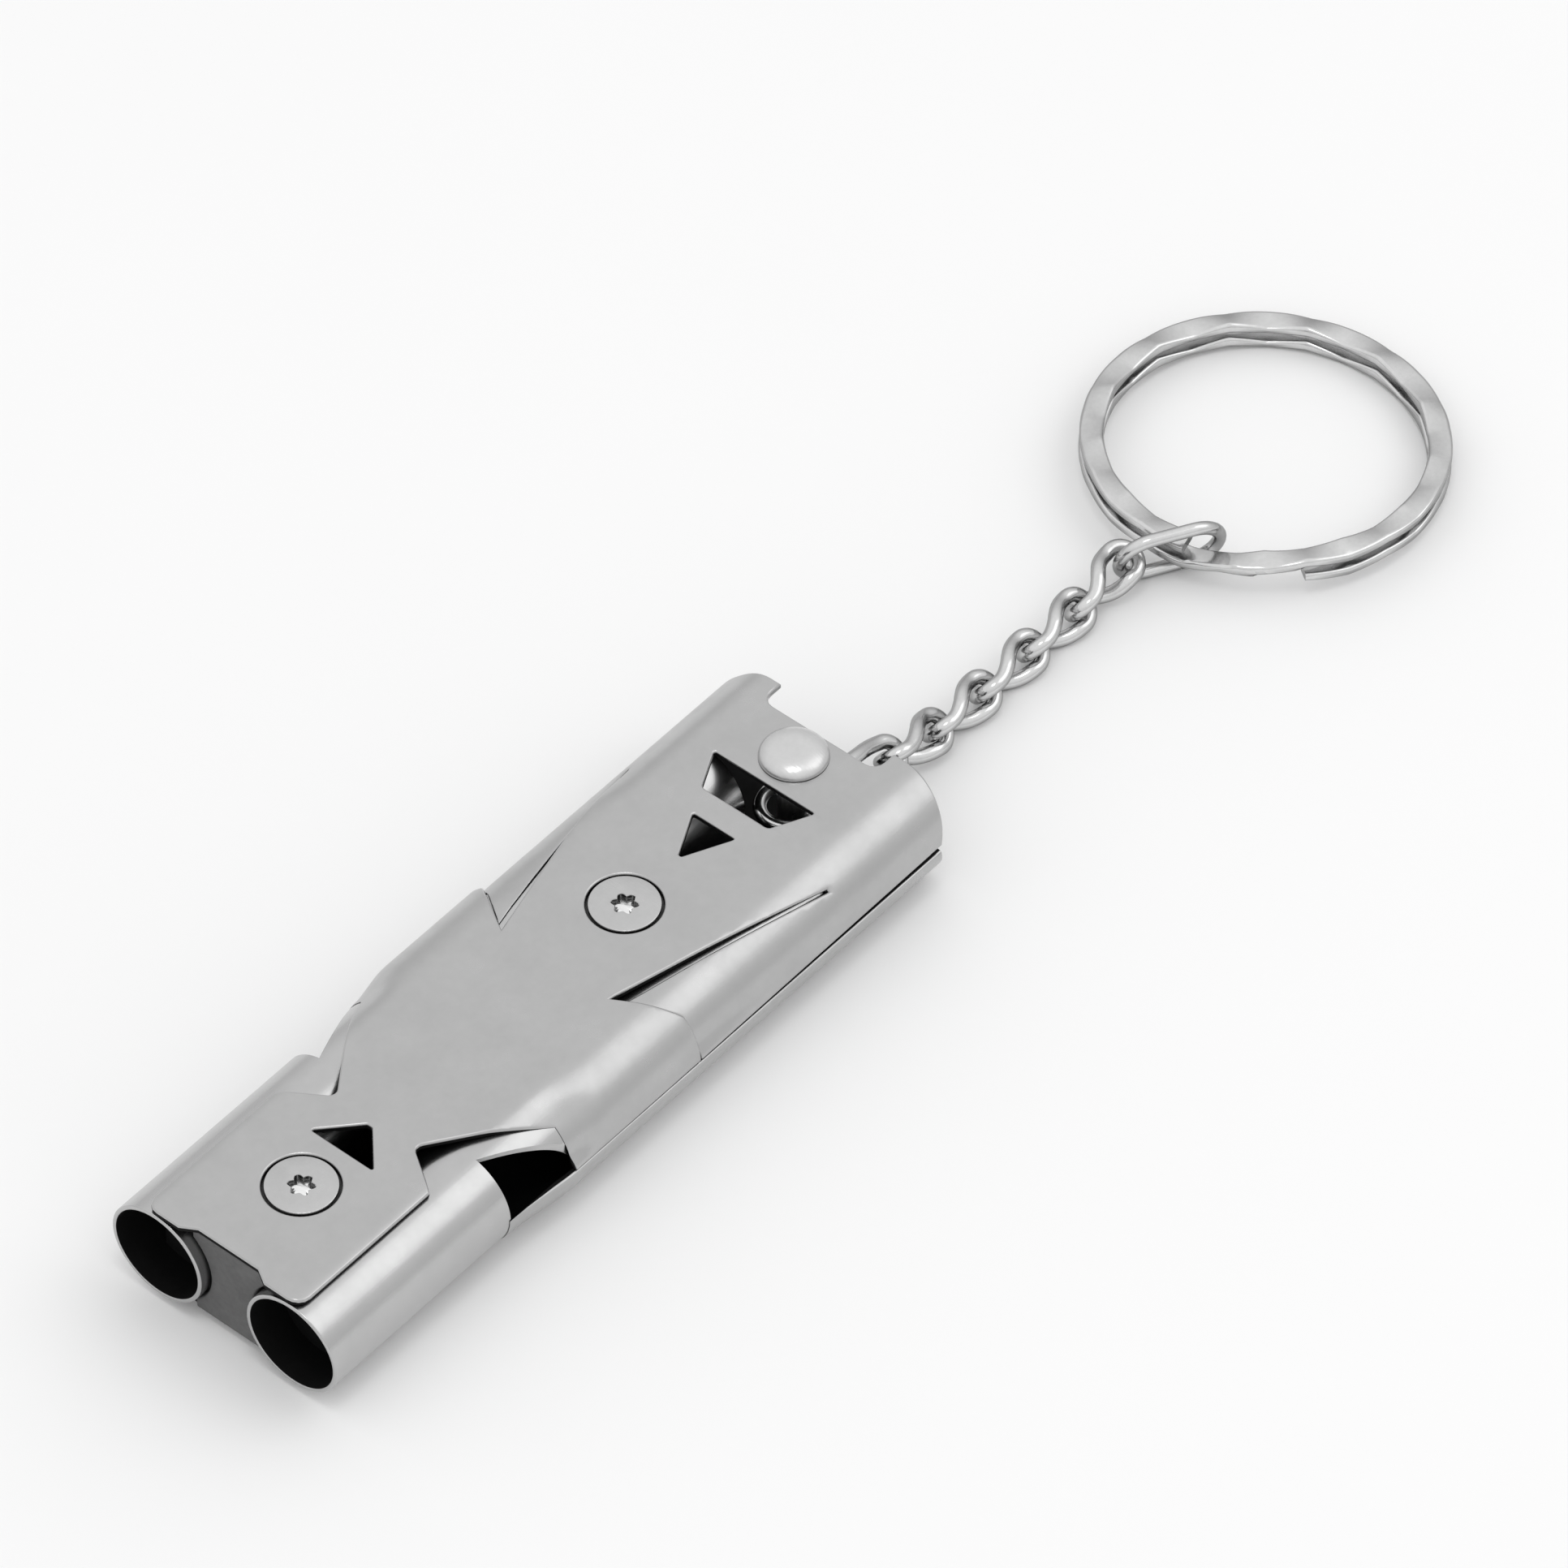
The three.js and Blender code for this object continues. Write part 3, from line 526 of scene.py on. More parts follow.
def pressed_in(body, x, y, front):
    """How far the sheet is pressed towards the pipe at a place on the flat sheet; the near side is -Y."""
    straight = body.pipe_spacing / 2
    width = abs(y)
    onto_tab = eased((width - straight) / (body.tab_root - straight))
    risen = eased((x - body.middle_tab_start) / body.front_press_length)
    if y < 0 and not front:
        risen = eased((x - body.back_tab_start) / body.back_press_length)
    depth = body.front_press * onto_tab * (1 - risen)
    if not front:
        return depth
    released = eased((width - RELEASE_WIDTH) / (rim_width(body) - RELEASE_WIDTH))
    if y < 0:
        depth *= 1 - released
    tab_end, slit_end = slit_span(body)
    rise = (width - REAR_SLIT.width) / (body.tab_root - REAR_SLIT.width)
    tab_edge = REAR_SLIT.x + (tab_end - REAR_SLIT.x) * min(max(rise, 0), 1)
    run = (x - REAR_SLIT.x) / (slit_end - REAR_SLIT.x)
    plate_edge = REAR_SLIT.width + (body.tab_root - REAR_SLIT.width) * run
    behind_tab = x > tab_edge + REAR_SLIT.cross_gap / 2
    on_tongue = behind_tab and x < slit_end and width > plate_edge + REAR_SLIT.end_gap / 2
    tongue = eased((slit_end - x) / (slit_end - tab_end)) if on_tongue else 0
    depth += body.tongue_press * tongue * (1 - released)
    if y > 0:
        sunk = 1 if on_tongue else onto_tab * eased((x - slit_end) / body.far_press_length + 1)
        depth = max(depth, body.far_end_press * sunk * (1 - released))
    return depth


def wrap(bm, body, front):
    """Bends the flat sheet round both pipes, thinned where it is pressed down to a pipe."""
    straight = body.pipe_spacing / 2
    room = body.wrap_radius - body.sheet - body.pipe_radius - SKIN
    for vert in bm.verts:
        turn = max(abs(vert.co.y) - straight, 0) / body.wrap_radius
        sunk = -vert.co.z / body.sheet
        depth = pressed_in(body, vert.co.x, vert.co.y, front)
        depth += (min(depth, room) - depth) * sunk
        radius = body.wrap_radius + vert.co.z - depth
        near_end = max(vert.co.x - body.body_length + RAKE_LENGTH, 0) / RAKE_LENGTH
        vert.co.x -= END_RAKE * near_end * (1 - math.cos(turn))
        across = min(abs(vert.co.y), straight) + radius * math.sin(turn)
        vert.co.y = math.copysign(across, vert.co.y)
        vert.co.z = radius * math.cos(turn)


def score_line(bm, place, across):
    """Scores the sheet along one line."""
    bmesh.ops.bisect_plane(bm, geom=all_of(bm), plane_co=place, plane_no=across, dist=WELD)


def score(bm, body, front):
    """Scores the sheet along the lines where it is to bend."""
    straight = body.pipe_spacing / 2
    rim = rim_width(body)
    for strip in range(BEND_STRIPS):
        line = straight + (rim - straight) * strip / BEND_STRIPS
        score_line(bm, (0, line, 0), (0, 1, 0))
        score_line(bm, (0, -line, 0), (0, 1, 0))
    rake_start = body.body_length - RAKE_LENGTH
    spans = [
        (rake_start - PRESS_STEP, rake_start),
        (FRONT_NOTCH.x, body.middle_tab_start + body.front_press_length),
    ]
    if front:
        spans.append((REAR_SLIT.x, rake_start))
    for first, last in spans:
        strips = round((last - first) / PRESS_STEP)
        for strip in range(1, strips + 1):
            score_line(bm, (first + (last - first) * strip / strips, 0, 0), (1, 0, 0))


def cover(body, fasteners, front):
    """A stamped sheet: cut flat, rounded along its outer edges, scored into strips and wrapped."""
    bm = bmesh.new()
    for side in (-1, 1):
        outline = half_blank(body, fasteners, front, side)
        corners = [bm.verts.new((x, side * width, 0)) for x, width, rounding in outline]
        bm.faces.new(corners)
        for corner, (x, width, rounding) in zip(corners, outline):
            if rounding:
                round_corners(bm, [corner], rounding)
    bmesh.ops.remove_doubles(bm, verts=bm.verts, dist=WELD)
    bmesh.ops.recalc_face_normals(bm, faces=bm.faces)
    sunk = bmesh.ops.extrude_face_region(bm, geom=bm.faces[:])
    inner = [item for item in sunk["geom"] if isinstance(item, bmesh.types.BMVert)]
    bmesh.ops.translate(bm, verts=inner, vec=(0, 0, -body.sheet))
    bmesh.ops.recalc_face_normals(bm, faces=bm.faces)
    rims = []
    for edge in bm.edges:
        on_top = all(abs(vert.co.z) < WELD for vert in edge.verts)
        if on_top and any(abs(face.normal.z) < LEVEL for face in edge.link_faces):
            rims.append(edge)
    round_edges(bm, rims, body.edge_round)
    # Painted shade: the cut walls short of the ring end, except the tab fronts, and the underside take the
    # near-black inside steel
    bright_end = body.body_length - END_RECESS.depth - body.edge_round
    for face in bm.faces:
        middle = face.calc_center_median()
        tab_front = abs(face.normal.x) > ALONG and abs(middle.y) > body.tab_root
        shaded_cut_wall = abs(face.normal.z) < UPRIGHT and middle.x < bright_end and not tab_front
        face.material_index = 1 if shaded_cut_wall or face.normal.z < -LEVEL else 0
    score(bm, body, front)
    wrap(bm, body, front)
    return bm


class WHISTLE_OT_add_covers(Operator):
    """Adds the front and back cover sheets"""
    bl_idname = "whistle.add_covers"
    bl_label = "Add covers"

    def execute(self, context):
        body = in_millimetres(context.scene.whistle_body)
        fasteners = in_millimetres(context.scene.whistle_fasteners)
        finish = context.scene.whistle_finish
        materials = [cover_steel(finish), painted_shade_steel(finish)]
        middle = Matrix.Translation((0, 0, body.wrap_radius))
        flipped = middle @ Matrix.Scale(-1, 4, (0, 0, 1))
        add_piece(cover(body, fasteners, True), "front_sheet", "whistle", ["front_cover"],
                  materials, middle)
        add_piece(cover(body, fasteners, False), "back_sheet", "whistle", ["back_cover"],
                  materials, flipped)
        return {"FINISHED"}


# Pipes

def pipe(body):
    """A pipe along X about its own axis, with its slanted window towards +Y."""
    bore = body.pipe_radius - body.pipe_wall
    bm = bmesh.new()
    corners = []
    for x, radius in ((0, bore), (0, body.pipe_radius), (body.pipe_length, body.pipe_radius),
                      (body.pipe_length, bore)):
        corners.append(bm.verts.new((x, 0, radius)))
    bm.faces.new(corners)
    round_corners(bm, corners[:2], body.pipe_wall / 3)
    bmesh.ops.delete(bm, geom=bm.faces[:], context="FACES_ONLY")
    bmesh.ops.spin(
        bm, geom=bm.verts[:] + bm.edges[:], cent=(0, 0, 0), axis=(1, 0, 0), angle=math.tau,
        steps=PIPE_STEPS, use_merge=True)
    bmesh.ops.remove_doubles(bm, verts=bm.verts, dist=WELD)
    start = body.window_start
    rise = (body.pipe_radius - body.window_floor) / body.window_length
    far = body.pipe_radius + rise * OVERSHOOT
    wedge = [(start, body.window_floor), (start + body.window_length + OVERSHOOT, far), (start, far)]
    deep = body.pipe_radius + OVERSHOOT
    cut = cut_away(bm, prism(wedge, -deep, deep))
    # Painted shade: faces looking in towards the pipe's axis, in the bore, take the near-black inside steel
    for face in cut.faces:
        middle = face.calc_center_median()
        inward = -Vector((0, middle.y, middle.z)).normalized()
        face.material_index = 1 if face.normal.dot(inward) > INWARD else 0
    return cut


class WHISTLE_OT_add_pipes(Operator):
    """Adds the two whistle pipes"""
    bl_idname = "whistle.add_pipes"
    bl_label = "Add pipes"

    def execute(self, context):
        body = in_millimetres(context.scene.whistle_body)
        finish = context.scene.whistle_finish
        materials = [pipe_steel(finish), painted_shade_steel(finish)]
        for side, turn in (("near", math.pi), ("far", 0)):
            across = math.cos(turn) * body.pipe_spacing / 2
            place = Matrix.Translation((0, across, body.wrap_radius)) @ Matrix.Rotation(turn, 4, "X")
            add_piece(pipe(body), f"{side}_pipe", "whistle", [f"{side}_tube"], materials,
                      place)
        return {"FINISHED"}


# Blocks

class WHISTLE_OT_add_blocks(Operator):
    """Gives the blocks between the pipes softened edges, and paints shade on the plugs"""
    bl_idname = "whistle.add_blocks"
    bl_label = "Add blocks"

    def execute(self, context):
        body = in_millimetres(context.scene.whistle_body)
        plastic = dark_plastic(context.scene.whistle_finish)
        for node in ("mouth_core", "middle_core"):
            bm = bmesh.new()
            bm.from_mesh(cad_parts[node].data)
            to_mouth = Matrix.Translation((body.body_length / 2, 0, 0)) @ Matrix.Scale(1 / MM, 4)
            bmesh.ops.transform(bm, matrix=to_mouth, verts=bm.verts)
            bmesh.ops.remove_doubles(bm, verts=bm.verts, dist=WELD)
            bmesh.ops.dissolve_limit(bm, angle_limit=FLAT_ANGLE, verts=bm.verts[:], edges=bm.edges[:])
            low = min(vert.co.x for vert in bm.verts)
            mouth_edges = [edge for edge in bm.edges if all(vert.co.x < low + WELD for vert in edge.verts)]
            round_edges(bm, mouth_edges, BLOCK_ROUND)
            add_piece(bm, node.replace("core", "block"), "whistle", [node], [plastic])
        # Painted shade: the plugs inside the pipes take the near-black inside steel
        shaded = painted_shade_steel(context.scene.whistle_finish)
        for side in ("near", "far"):
            for kind in ("windway_plug", "end_plug"):
                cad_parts[f"{side}_{kind}"].material_slots[0].material = shaded
        return {"FINISHED"}


# Fasteners

def screw(fasteners, height):
    """A flush screw with a six-lobe recess, its head face at height 0."""
    head = fasteners.head_radius
    cone = head - SCREW_SHANK
    tip = -(height - SCREW_TIP_HEIGHT)
    bm = turned([
        (0, tip),
        (SCREW_SHANK, tip),
        (SCREW_SHANK, -SCREW_LAND - cone),
        (head, -SCREW_LAND),
        (head, -HEAD_ROUND),
        (head - HEAD_ROUND * HEAD_EASE, -HEAD_ROUND * HEAD_EASE),
        (head - HEAD_ROUND, 0),
    ], TURN_STEPS)
    rim = [edge for edge in bm.edges if edge.is_boundary]
    face = bmesh.ops.holes_fill(bm, edges=rim)["faces"][0]
    deep = fasteners.recess_depth
    # Material 1 paints shade on the recess walls
    rings = (
        (0, 0, 0),
        (RECESS.rim, RECESS.rim, 0),
        (RECESS.wall, deep, 1),
        (RECESS.floor, deep - fasteners.recess_rise, 2),
    )
    for inset, depth, material in rings:
        around = bmesh.ops.inset_region(bm, faces=[face], thickness=NUDGE)["faces"]
        for side in around:
            side.material_index = material
        for vert in face.verts:
            turn = math.atan2(vert.co.y, vert.co.x)
            reach = fasteners.lobe_radius + fasteners.lobe_depth * math.cos(RECESS.lobes * turn) - inset
            vert.co = (reach * math.cos(turn), reach * math.sin(turn), -depth)
    # Material 2 paints a highlight on the recess floor
    face.material_index = 2
    return bm


def nut(fasteners):
    """A flush nut with a plain face at height 0 and a blind bore above it."""
    head = fasteners.head_radius
    bore = SCREW_SHANK + FIT_GAP
    return turned([
        (0, 0),
        (head - HEAD_ROUND, 0),
        (head - HEAD_ROUND * HEAD_EASE, HEAD_ROUND * HEAD_EASE),
        (head, HEAD_ROUND),
        (head, SCREW_LAND),
        (NUT_BARREL, NUT_CONE_HEIGHT),
        (NUT_BARREL, NUT_HEIGHT),
        (bore, NUT_HEIGHT),
        (bore, NUT_FLOOR),
        (0, NUT_FLOOR),
    ], TURN_STEPS)


def rivet(fasteners, height):
    """A domed rivet with a flush tail."""
    profile = [
        (0, 0),
        (RIVET_TAIL, 0),
        (RIVET_SHANK, RIVET_TAIL - RIVET_SHANK),
        (RIVET_SHANK, height + RIVET_SEAT),
    ]
    for step in range(DOME_STEPS):
        turn = math.pi / 2 * step / DOME_STEPS
        radius = fasteners.dome_radius * math.cos(turn) ** DOME_FULLNESS
        profile.append((radius, height + RIVET_SEAT + fasteners.dome_height * math.sin(turn)))
    profile.append((0, height + RIVET_SEAT + fasteners.dome_height))
    return turned(profile, TURN_STEPS)


class WHISTLE_OT_add_fasteners(Operator):
    """Adds the screws, the nuts and the rivet"""
    bl_idname = "whistle.add_fasteners"
    bl_label = "Add fasteners"

    def execute(self, context):
        body = in_millimetres(context.scene.whistle_body)
        fasteners = in_millimetres(context.scene.whistle_fasteners)
        finish = context.scene.whistle_finish
        height = 2 * body.wrap_radius
        for name, x in (("front", fasteners.front_screw), ("middle", fasteners.middle_screw)):
            axis_x = x - body.body_length / 2
            steel = [turned_steel(f"{name} fastener steel", finish.fastener_colour, axis_x)]
            recess = [turned_steel(f"{name} recess walls", finish.recess_shade, axis_x),
                      turned_steel(f"{name} recess floor highlight", finish.recess_highlight_colour, axis_x)]
            add_piece(screw(fasteners, height), f"{name}_flush_screw", "whistle", [f"{name}_screw"],
                      steel + recess, Matrix.Translation((x, 0, height)))
            add_piece(nut(fasteners), f"{name}_flush_nut", "whistle", [f"{name}_nut"],
                      steel, Matrix.Translation((x, 0, 0)))
        x = body.body_length - fasteners.rivet_inset
        # The rivet's steel carries a painted sheen
        steel = [turned_steel("Rivet steel with painted sheen", finish.rivet_colour, x - body.body_length / 2)]
        add_piece(rivet(fasteners, height), "domed_rivet", "whistle", ["chain_rivet"],
                  steel, Matrix.Translation((x, 0, 0)))
        return {"FINISHED"}


# Chain

def sweep_on(bm, loop, centre, turn, travel, steps):
    """Carries an open ring of edges on, turned about Z or along X, and returns the last ring."""
    made = bmesh.ops.spin(
        bm, geom=loop, cent=centre, axis=(0, 0, 1), dvec=(travel / steps, 0, 0), angle=turn, steps=steps)
    return made["geom_last"]


def wire_loop(half_length, half_width, wire, split=0, split_place=0):
    """A level oval of round wire along X; with a split its two ends stay apart on the -Y side."""
    straight = half_length - half_width
    start = split_place + split / 2
    bm = bmesh.new()
    across = Matrix.Translation((start, -half_width, 0)) @ Matrix.Rotation(math.pi / 2, 4, "Y")
    bmesh.ops.create_circle(bm, segments=WIRE_SIDES, radius=wire / 2, matrix=across)
    loop = bm.verts[:] + bm.edges[:]
    first_part = LOOP_STRAIGHT_STEPS // 2
    loop = sweep_on(bm, loop, (0, 0, 0), 0, straight - start, first_part)
    loop = sweep_on(bm, loop, (straight, 0, 0), math.pi, 0, LOOP_ARC_STEPS)
    loop = sweep_on(bm, loop, (0, 0, 0), 0, -2 * straight, LOOP_STRAIGHT_STEPS)
    loop = sweep_on(bm, loop, (-straight, 0, 0), math.pi, 0, LOOP_ARC_STEPS)
    sweep_on(bm, loop, (0, 0, 0), 0, straight + start - split, first_part)
    bmesh.ops.remove_doubles(bm, verts=bm.verts, dist=WELD)
    if split:
        bmesh.ops.holes_fill(bm, edges=[edge for edge in bm.edges if edge.is_boundary])
    return bm


def twist_loop(bm, straight, half_width, start_roll, twist):
    """Turns a level loop about X, more and more along it, and keeps its wire round."""
    for vert in bm.verts:
        along = min(max((vert.co.x / straight + 1) / 2, 0), 1)
        rate = twist * 3 * along * (1 - along) / straight
        vert.co.z *= math.hypot(1, half_width * rate)
        vert.co = Matrix.Rotation(start_roll + twist * eased(along), 3, "X") @ vert.co


def heading(turn):
    """A level direction."""
    return Vector((math.cos(turn), math.sin(turn), 0))


def chain_layout(body, fasteners, chain, ring):
    """Where the chain's pieces and the ring lie, as matrices, and the sizes that follow from them."""
    wire = chain.wire / 2
    anchor_radius = RIVET_SHANK + FIT_GAP + wire
    reach = chain.wire + chain.link_gap
    rest = wire + chain.lie_half_width * abs(math.sin(chain.lie_roll))
    ring_height = 2 * ring.wire_height + ring.coil_gap
    ring_radius = (ring.diameter - ring.wire_width) / 2
    ring_rise = ring_radius * math.sin(ring.tilt)
    ring_centre_height = ring.diameter / 2 * math.sin(ring.tilt) + ring_height / 2 * math.cos(ring.tilt)
    connector_height = ring_centre_height + ring_rise
    half_width = ring_height / 2 + 2 * FIT_GAP + wire
    clear = half_width - wire - FIT_GAP
    half_cut = ring.wire_width / (2 * math.cos(ring.heading - chain.connector_heading))
    side_room = math.sqrt(clear ** 2 - (ring_height / 2) ** 2) - chain.connector_slack
    setback = half_width + half_cut - side_room
    half_length = (reach + wire + chain.connector_room + half_cut + setback) / 2

    slack = Vector((chain.chain_slack, 0, 0))
    eye = Vector((body.body_length - fasteners.rivet_inset, 0, body.wrap_radius)) - slack
    forward = heading(chain.anchor_heading)
    anchor_middle = eye + forward * (chain.anchor_straight / 2)
    anchor = Matrix.Translation(anchor_middle) @ Matrix.Rotation(chain.anchor_heading, 4, "Z")
    joint = eye + forward * (chain.anchor_straight + anchor_radius - reach / 2)
    links = []
    for index in range(chain.link_count):
        fallen = FIRST_FALLS[index] if index < len(FIRST_FALLS) else 1
        height = body.wrap_radius + (rest - body.wrap_radius) * fallen
        if index == chain.link_count - 1:
            height = connector_height
        drift = chain.chain_offset - joint.y
        fall = joint.z - height
        run = math.sqrt(chain.link_pitch ** 2 - drift ** 2 - fall ** 2)
        following = Vector((joint.x + run, chain.chain_offset, height))
        slope = math.atan2(fall, math.hypot(run, drift))
        turned_to = Euler((0, slope, math.atan2(drift, run)), "XYZ").to_matrix().to_4x4()
        links.append(Matrix.Translation(joint.lerp(following, 0.5)) @ turned_to)
        joint = following

    start = Vector((joint.x - reach / 2, joint.y, connector_height))
    contact = start + slack + heading(chain.connector_heading) * (2 * half_length - setback)
    reached = contact - start
    half_length = (reached.length + setback) / 2
    connector_turn = Matrix.Rotation(math.atan2(reached.y, reached.x), 4, "Z")
    connector_turn = connector_turn @ Matrix.Rotation(chain.connector_roll, 4, "X")
    connector = Matrix.Translation(start + reached.normalized() * half_length) @ connector_turn
    centre = contact + heading(ring.heading) * (ring_radius * math.cos(ring.tilt))
    centre.z = ring_centre_height
    ring_turn = Euler((0, ring.tilt, ring.heading), "XYZ").to_matrix().to_4x4()
    return SimpleNamespace(
        anchor_radius=anchor_radius, link_half_length=(chain.link_pitch + reach) / 2,
        connector_half_length=half_length, connector_half_width=half_width, ring_radius=ring_radius,
        anchor=anchor, links=links, connector=connector, ring=Matrix.Translation(centre) @ ring_turn)


def layout_of(scene):
    """The chain's layout from the scene's sizes."""
    groups = (scene.whistle_body, scene.whistle_fasteners, scene.whistle_chain, scene.whistle_ring)
    return chain_layout(*[in_millimetres(group) for group in groups])


class WHISTLE_OT_add_chain(Operator):
    """Adds the link round the rivet, the twisted links and the split connector"""
    bl_idname = "whistle.add_chain"
    bl_label = "Add chain"

    def execute(self, context):
        chain = in_millimetres(context.scene.whistle_chain)
        layout = layout_of(context.scene)
        steel = [wire_steel(context.scene.whistle_finish)]
        anchor = wire_loop(layout.anchor_radius + chain.anchor_straight / 2, layout.anchor_radius,
                           chain.wire)
        add_piece(anchor, "anchor_loop", "anchor", ["anchor_link"], steel, layout.anchor)
        for number, place in enumerate(layout.links, 1):
            link = wire_loop(layout.link_half_length, chain.link_half_width, chain.link_wire)
            straight = layout.link_half_length - chain.link_half_width
            roll = chain.first_roll if number == 1 else chain.link_roll
            end_roll = chain.last_roll if number == chain.link_count else chain.link_end_roll
            twist_loop(link, straight, chain.link_half_width, roll, end_roll - roll)
            add_piece(link, f"curb_link_{number}", f"link_{number}", [f"chain_link_{number}"],
                      steel, place)
        connector = wire_loop(layout.connector_half_length, layout.connector_half_width, chain.wire,
                              chain.connector_split, CONNECTOR_SPLIT_PLACE)
        add_piece(connector, "split_connector", "connector", ["connector_link"], steel,
                  layout.connector)
        return {"FINISHED"}


# Key ring

def hammer(bm, ring, radius, level):
    """Leans and dents the flat wire in turns round the ring, away from where it changes coil."""
    period = math.tau / ring.facets
    for vert in bm.verts:
        turn = math.atan2(vert.co.y, vert.co.x)
        side = 1 if vert.co.z > 0 else -1
        wave = 4 * abs((turn / period) % 1 - 0.5) - 1
        lean = ring.facet_turn * wave
        outward = vert.co.xy.length - radius
        rise = vert.co.z - side * level
        if abs(rise) > ring.wire_height / 2 + WELD:
            continue
        outward, rise = (
            outward * math.cos(lean) - rise * math.sin(lean),
            outward * math.sin(lean) + rise * math.cos(lean),
        )
        rise *= 1 - ring.facet_dent / ring.wire_height * (1 + wave)
        scale = (radius + outward) / vert.co.xy.length
        vert.co = (vert.co.x * scale, vert.co.y * scale, side * level + rise)


def key_ring(ring, radius):
    """Flat wire wound clockwise through two coils from its upper end."""
    level = (ring.wire_height + ring.coil_gap) / 2
    bm = bmesh.new()
    bmesh.ops.create_grid(bm, x_segments=1, y_segments=1, size=0.5)
    bmesh.ops.scale(bm, vec=(ring.wire_width, ring.wire_height, 1), verts=bm.verts)
    round_corners(bm, bm.verts[:], ring.wire_round)
    upright = Matrix.Translation((radius, 0, level)) @ Matrix.Rotation(math.pi / 2, 4, "X")
    start = Matrix.Rotation(math.pi + ring.end_lead, 4, "Z")
    bmesh.ops.transform(bm, matrix=start @ upright, verts=bm.verts)
    bmesh.ops.delete(bm, geom=bm.faces[:], context="FACES_ONLY")
    loop = bm.verts[:] + bm.edges[:]
    coil = math.tau - ring.crossing
    for turn, drop, steps in ((coil, 0, RING_STEPS), (ring.crossing, 2 * level, CROSSING_STEPS),
                              (coil, 0, RING_STEPS)):
        made = bmesh.ops.spin(
            bm, geom=loop, cent=(0, 0, 0), axis=(0, 0, -1), dvec=(0, 0, -drop / steps), angle=turn,
            steps=steps)
        loop = made["geom_last"]
    bmesh.ops.holes_fill(bm, edges=[edge for edge in bm.edges if edge.is_boundary])
    hammer(bm, ring, radius, level)
    return bm


class WHISTLE_OT_add_ring(Operator):
    """Adds the split key ring"""
    bl_idname = "whistle.add_ring"
    bl_label = "Add key ring"

    def execute(self, context):
        ring = in_millimetres(context.scene.whistle_ring)
        layout = layout_of(context.scene)
        steel = [wire_steel(context.scene.whistle_finish)]
        add_piece(key_ring(ring, layout.ring_radius), "key_ring_coil", "ring", ["split_ring"],
                  steel, layout.ring)
        return {"FINISHED"}


# Materials

def new_node(tree, kind, inputs=(), **settings):
    """A node with its settings and the values of its inputs, by name or by number."""
    made = tree.nodes.new(kind)
    for name, value in settings.items():
        setattr(made, name, value)
    for name, value in dict(inputs).items():
        made.inputs[name].default_value = value
    return made


def join(tree, *links):
    """Joins nodes: each link is a node and its output, then another node and its input."""
    for source, way_out, target, way_in in links:
        tree.links.new(source.outputs[way_out], target.inputs[way_in])


def new_group(name, inputs, outputs):
    """An empty shader node group with its sockets."""
    group = bpy.data.node_groups.new(name, "ShaderNodeTree")
    for label, kind in inputs:
        group.interface.new_socket(label, in_out="INPUT", socket_type=kind)
    for label, kind in outputs:
        group.interface.new_socket(label, in_out="OUTPUT", socket_type=kind)
    return group


def mottle_group():
    """Clouded tone of handled metal and moulded plastic, in two sizes."""
    name = "Mottled tone"
    if name in bpy.data.node_groups:
        return bpy.data.node_groups[name]
    group = new_group(
        name, (("Vector", "NodeSocketVector"), ("Scale", "NodeSocketFloat")), (("Tone", "NodeSocketFloat"),))
    enter = new_node(group, "NodeGroupInput")
    leave = new_node(group, "NodeGroupOutput")
    broad = new_node(group, "ShaderNodeTexNoise", {"Detail": 3.0, "Roughness": 0.55})
    finer = new_node(group, "ShaderNodeTexNoise", {"Detail": 2.0, "Roughness": 0.6})
    closer = new_node(group, "ShaderNodeMath", {1: 5.3}, operation="MULTIPLY")
    blend = new_node(group, "ShaderNodeMix", {FACTOR: 0.35}, data_type="FLOAT")
    spread = new_node(group, "ShaderNodeMapRange", {"From Min": 0.3, "From Max": 0.7})
    join(
        group,
        (enter, "Vector", broad, "Vector"),
        (enter, "Vector", finer, "Vector"),
        (enter, "Scale", broad, "Scale"),
        (enter, "Scale", closer, 0),
        (closer, 0, finer, "Scale"),
        (broad, 0, blend, FIRST_VALUE),
        (finer, 0, blend, SECOND_VALUE),
        (blend, 0, spread, "Value"),
        (spread, 0, leave, "Tone"))
    return group


def grain_group():
    """Fine scratches drawn out along one direction."""
    name = "Drawn grain"
    if name in bpy.data.node_groups:
        return bpy.data.node_groups[name]
    group = new_group(
        name, (("Vector", "NodeSocketVector"), ("Stretch", "NodeSocketVector")),
        (("Height", "NodeSocketFloat"),))
    enter = new_node(group, "NodeGroupInput")
    leave = new_node(group, "NodeGroupOutput")
    stretch = new_node(group, "ShaderNodeVectorMath", operation="MULTIPLY")
    noise = new_node(group, "ShaderNodeTexNoise", {"Scale": 1.0, "Detail": 4.0, "Roughness": 0.65})
    join(
        group,
        (enter, "Vector", stretch, 0),
        (enter, "Stretch", stretch, 1),
        (stretch, 0, noise, "Vector"),
        (noise, 0, leave, "Height"))
    return group


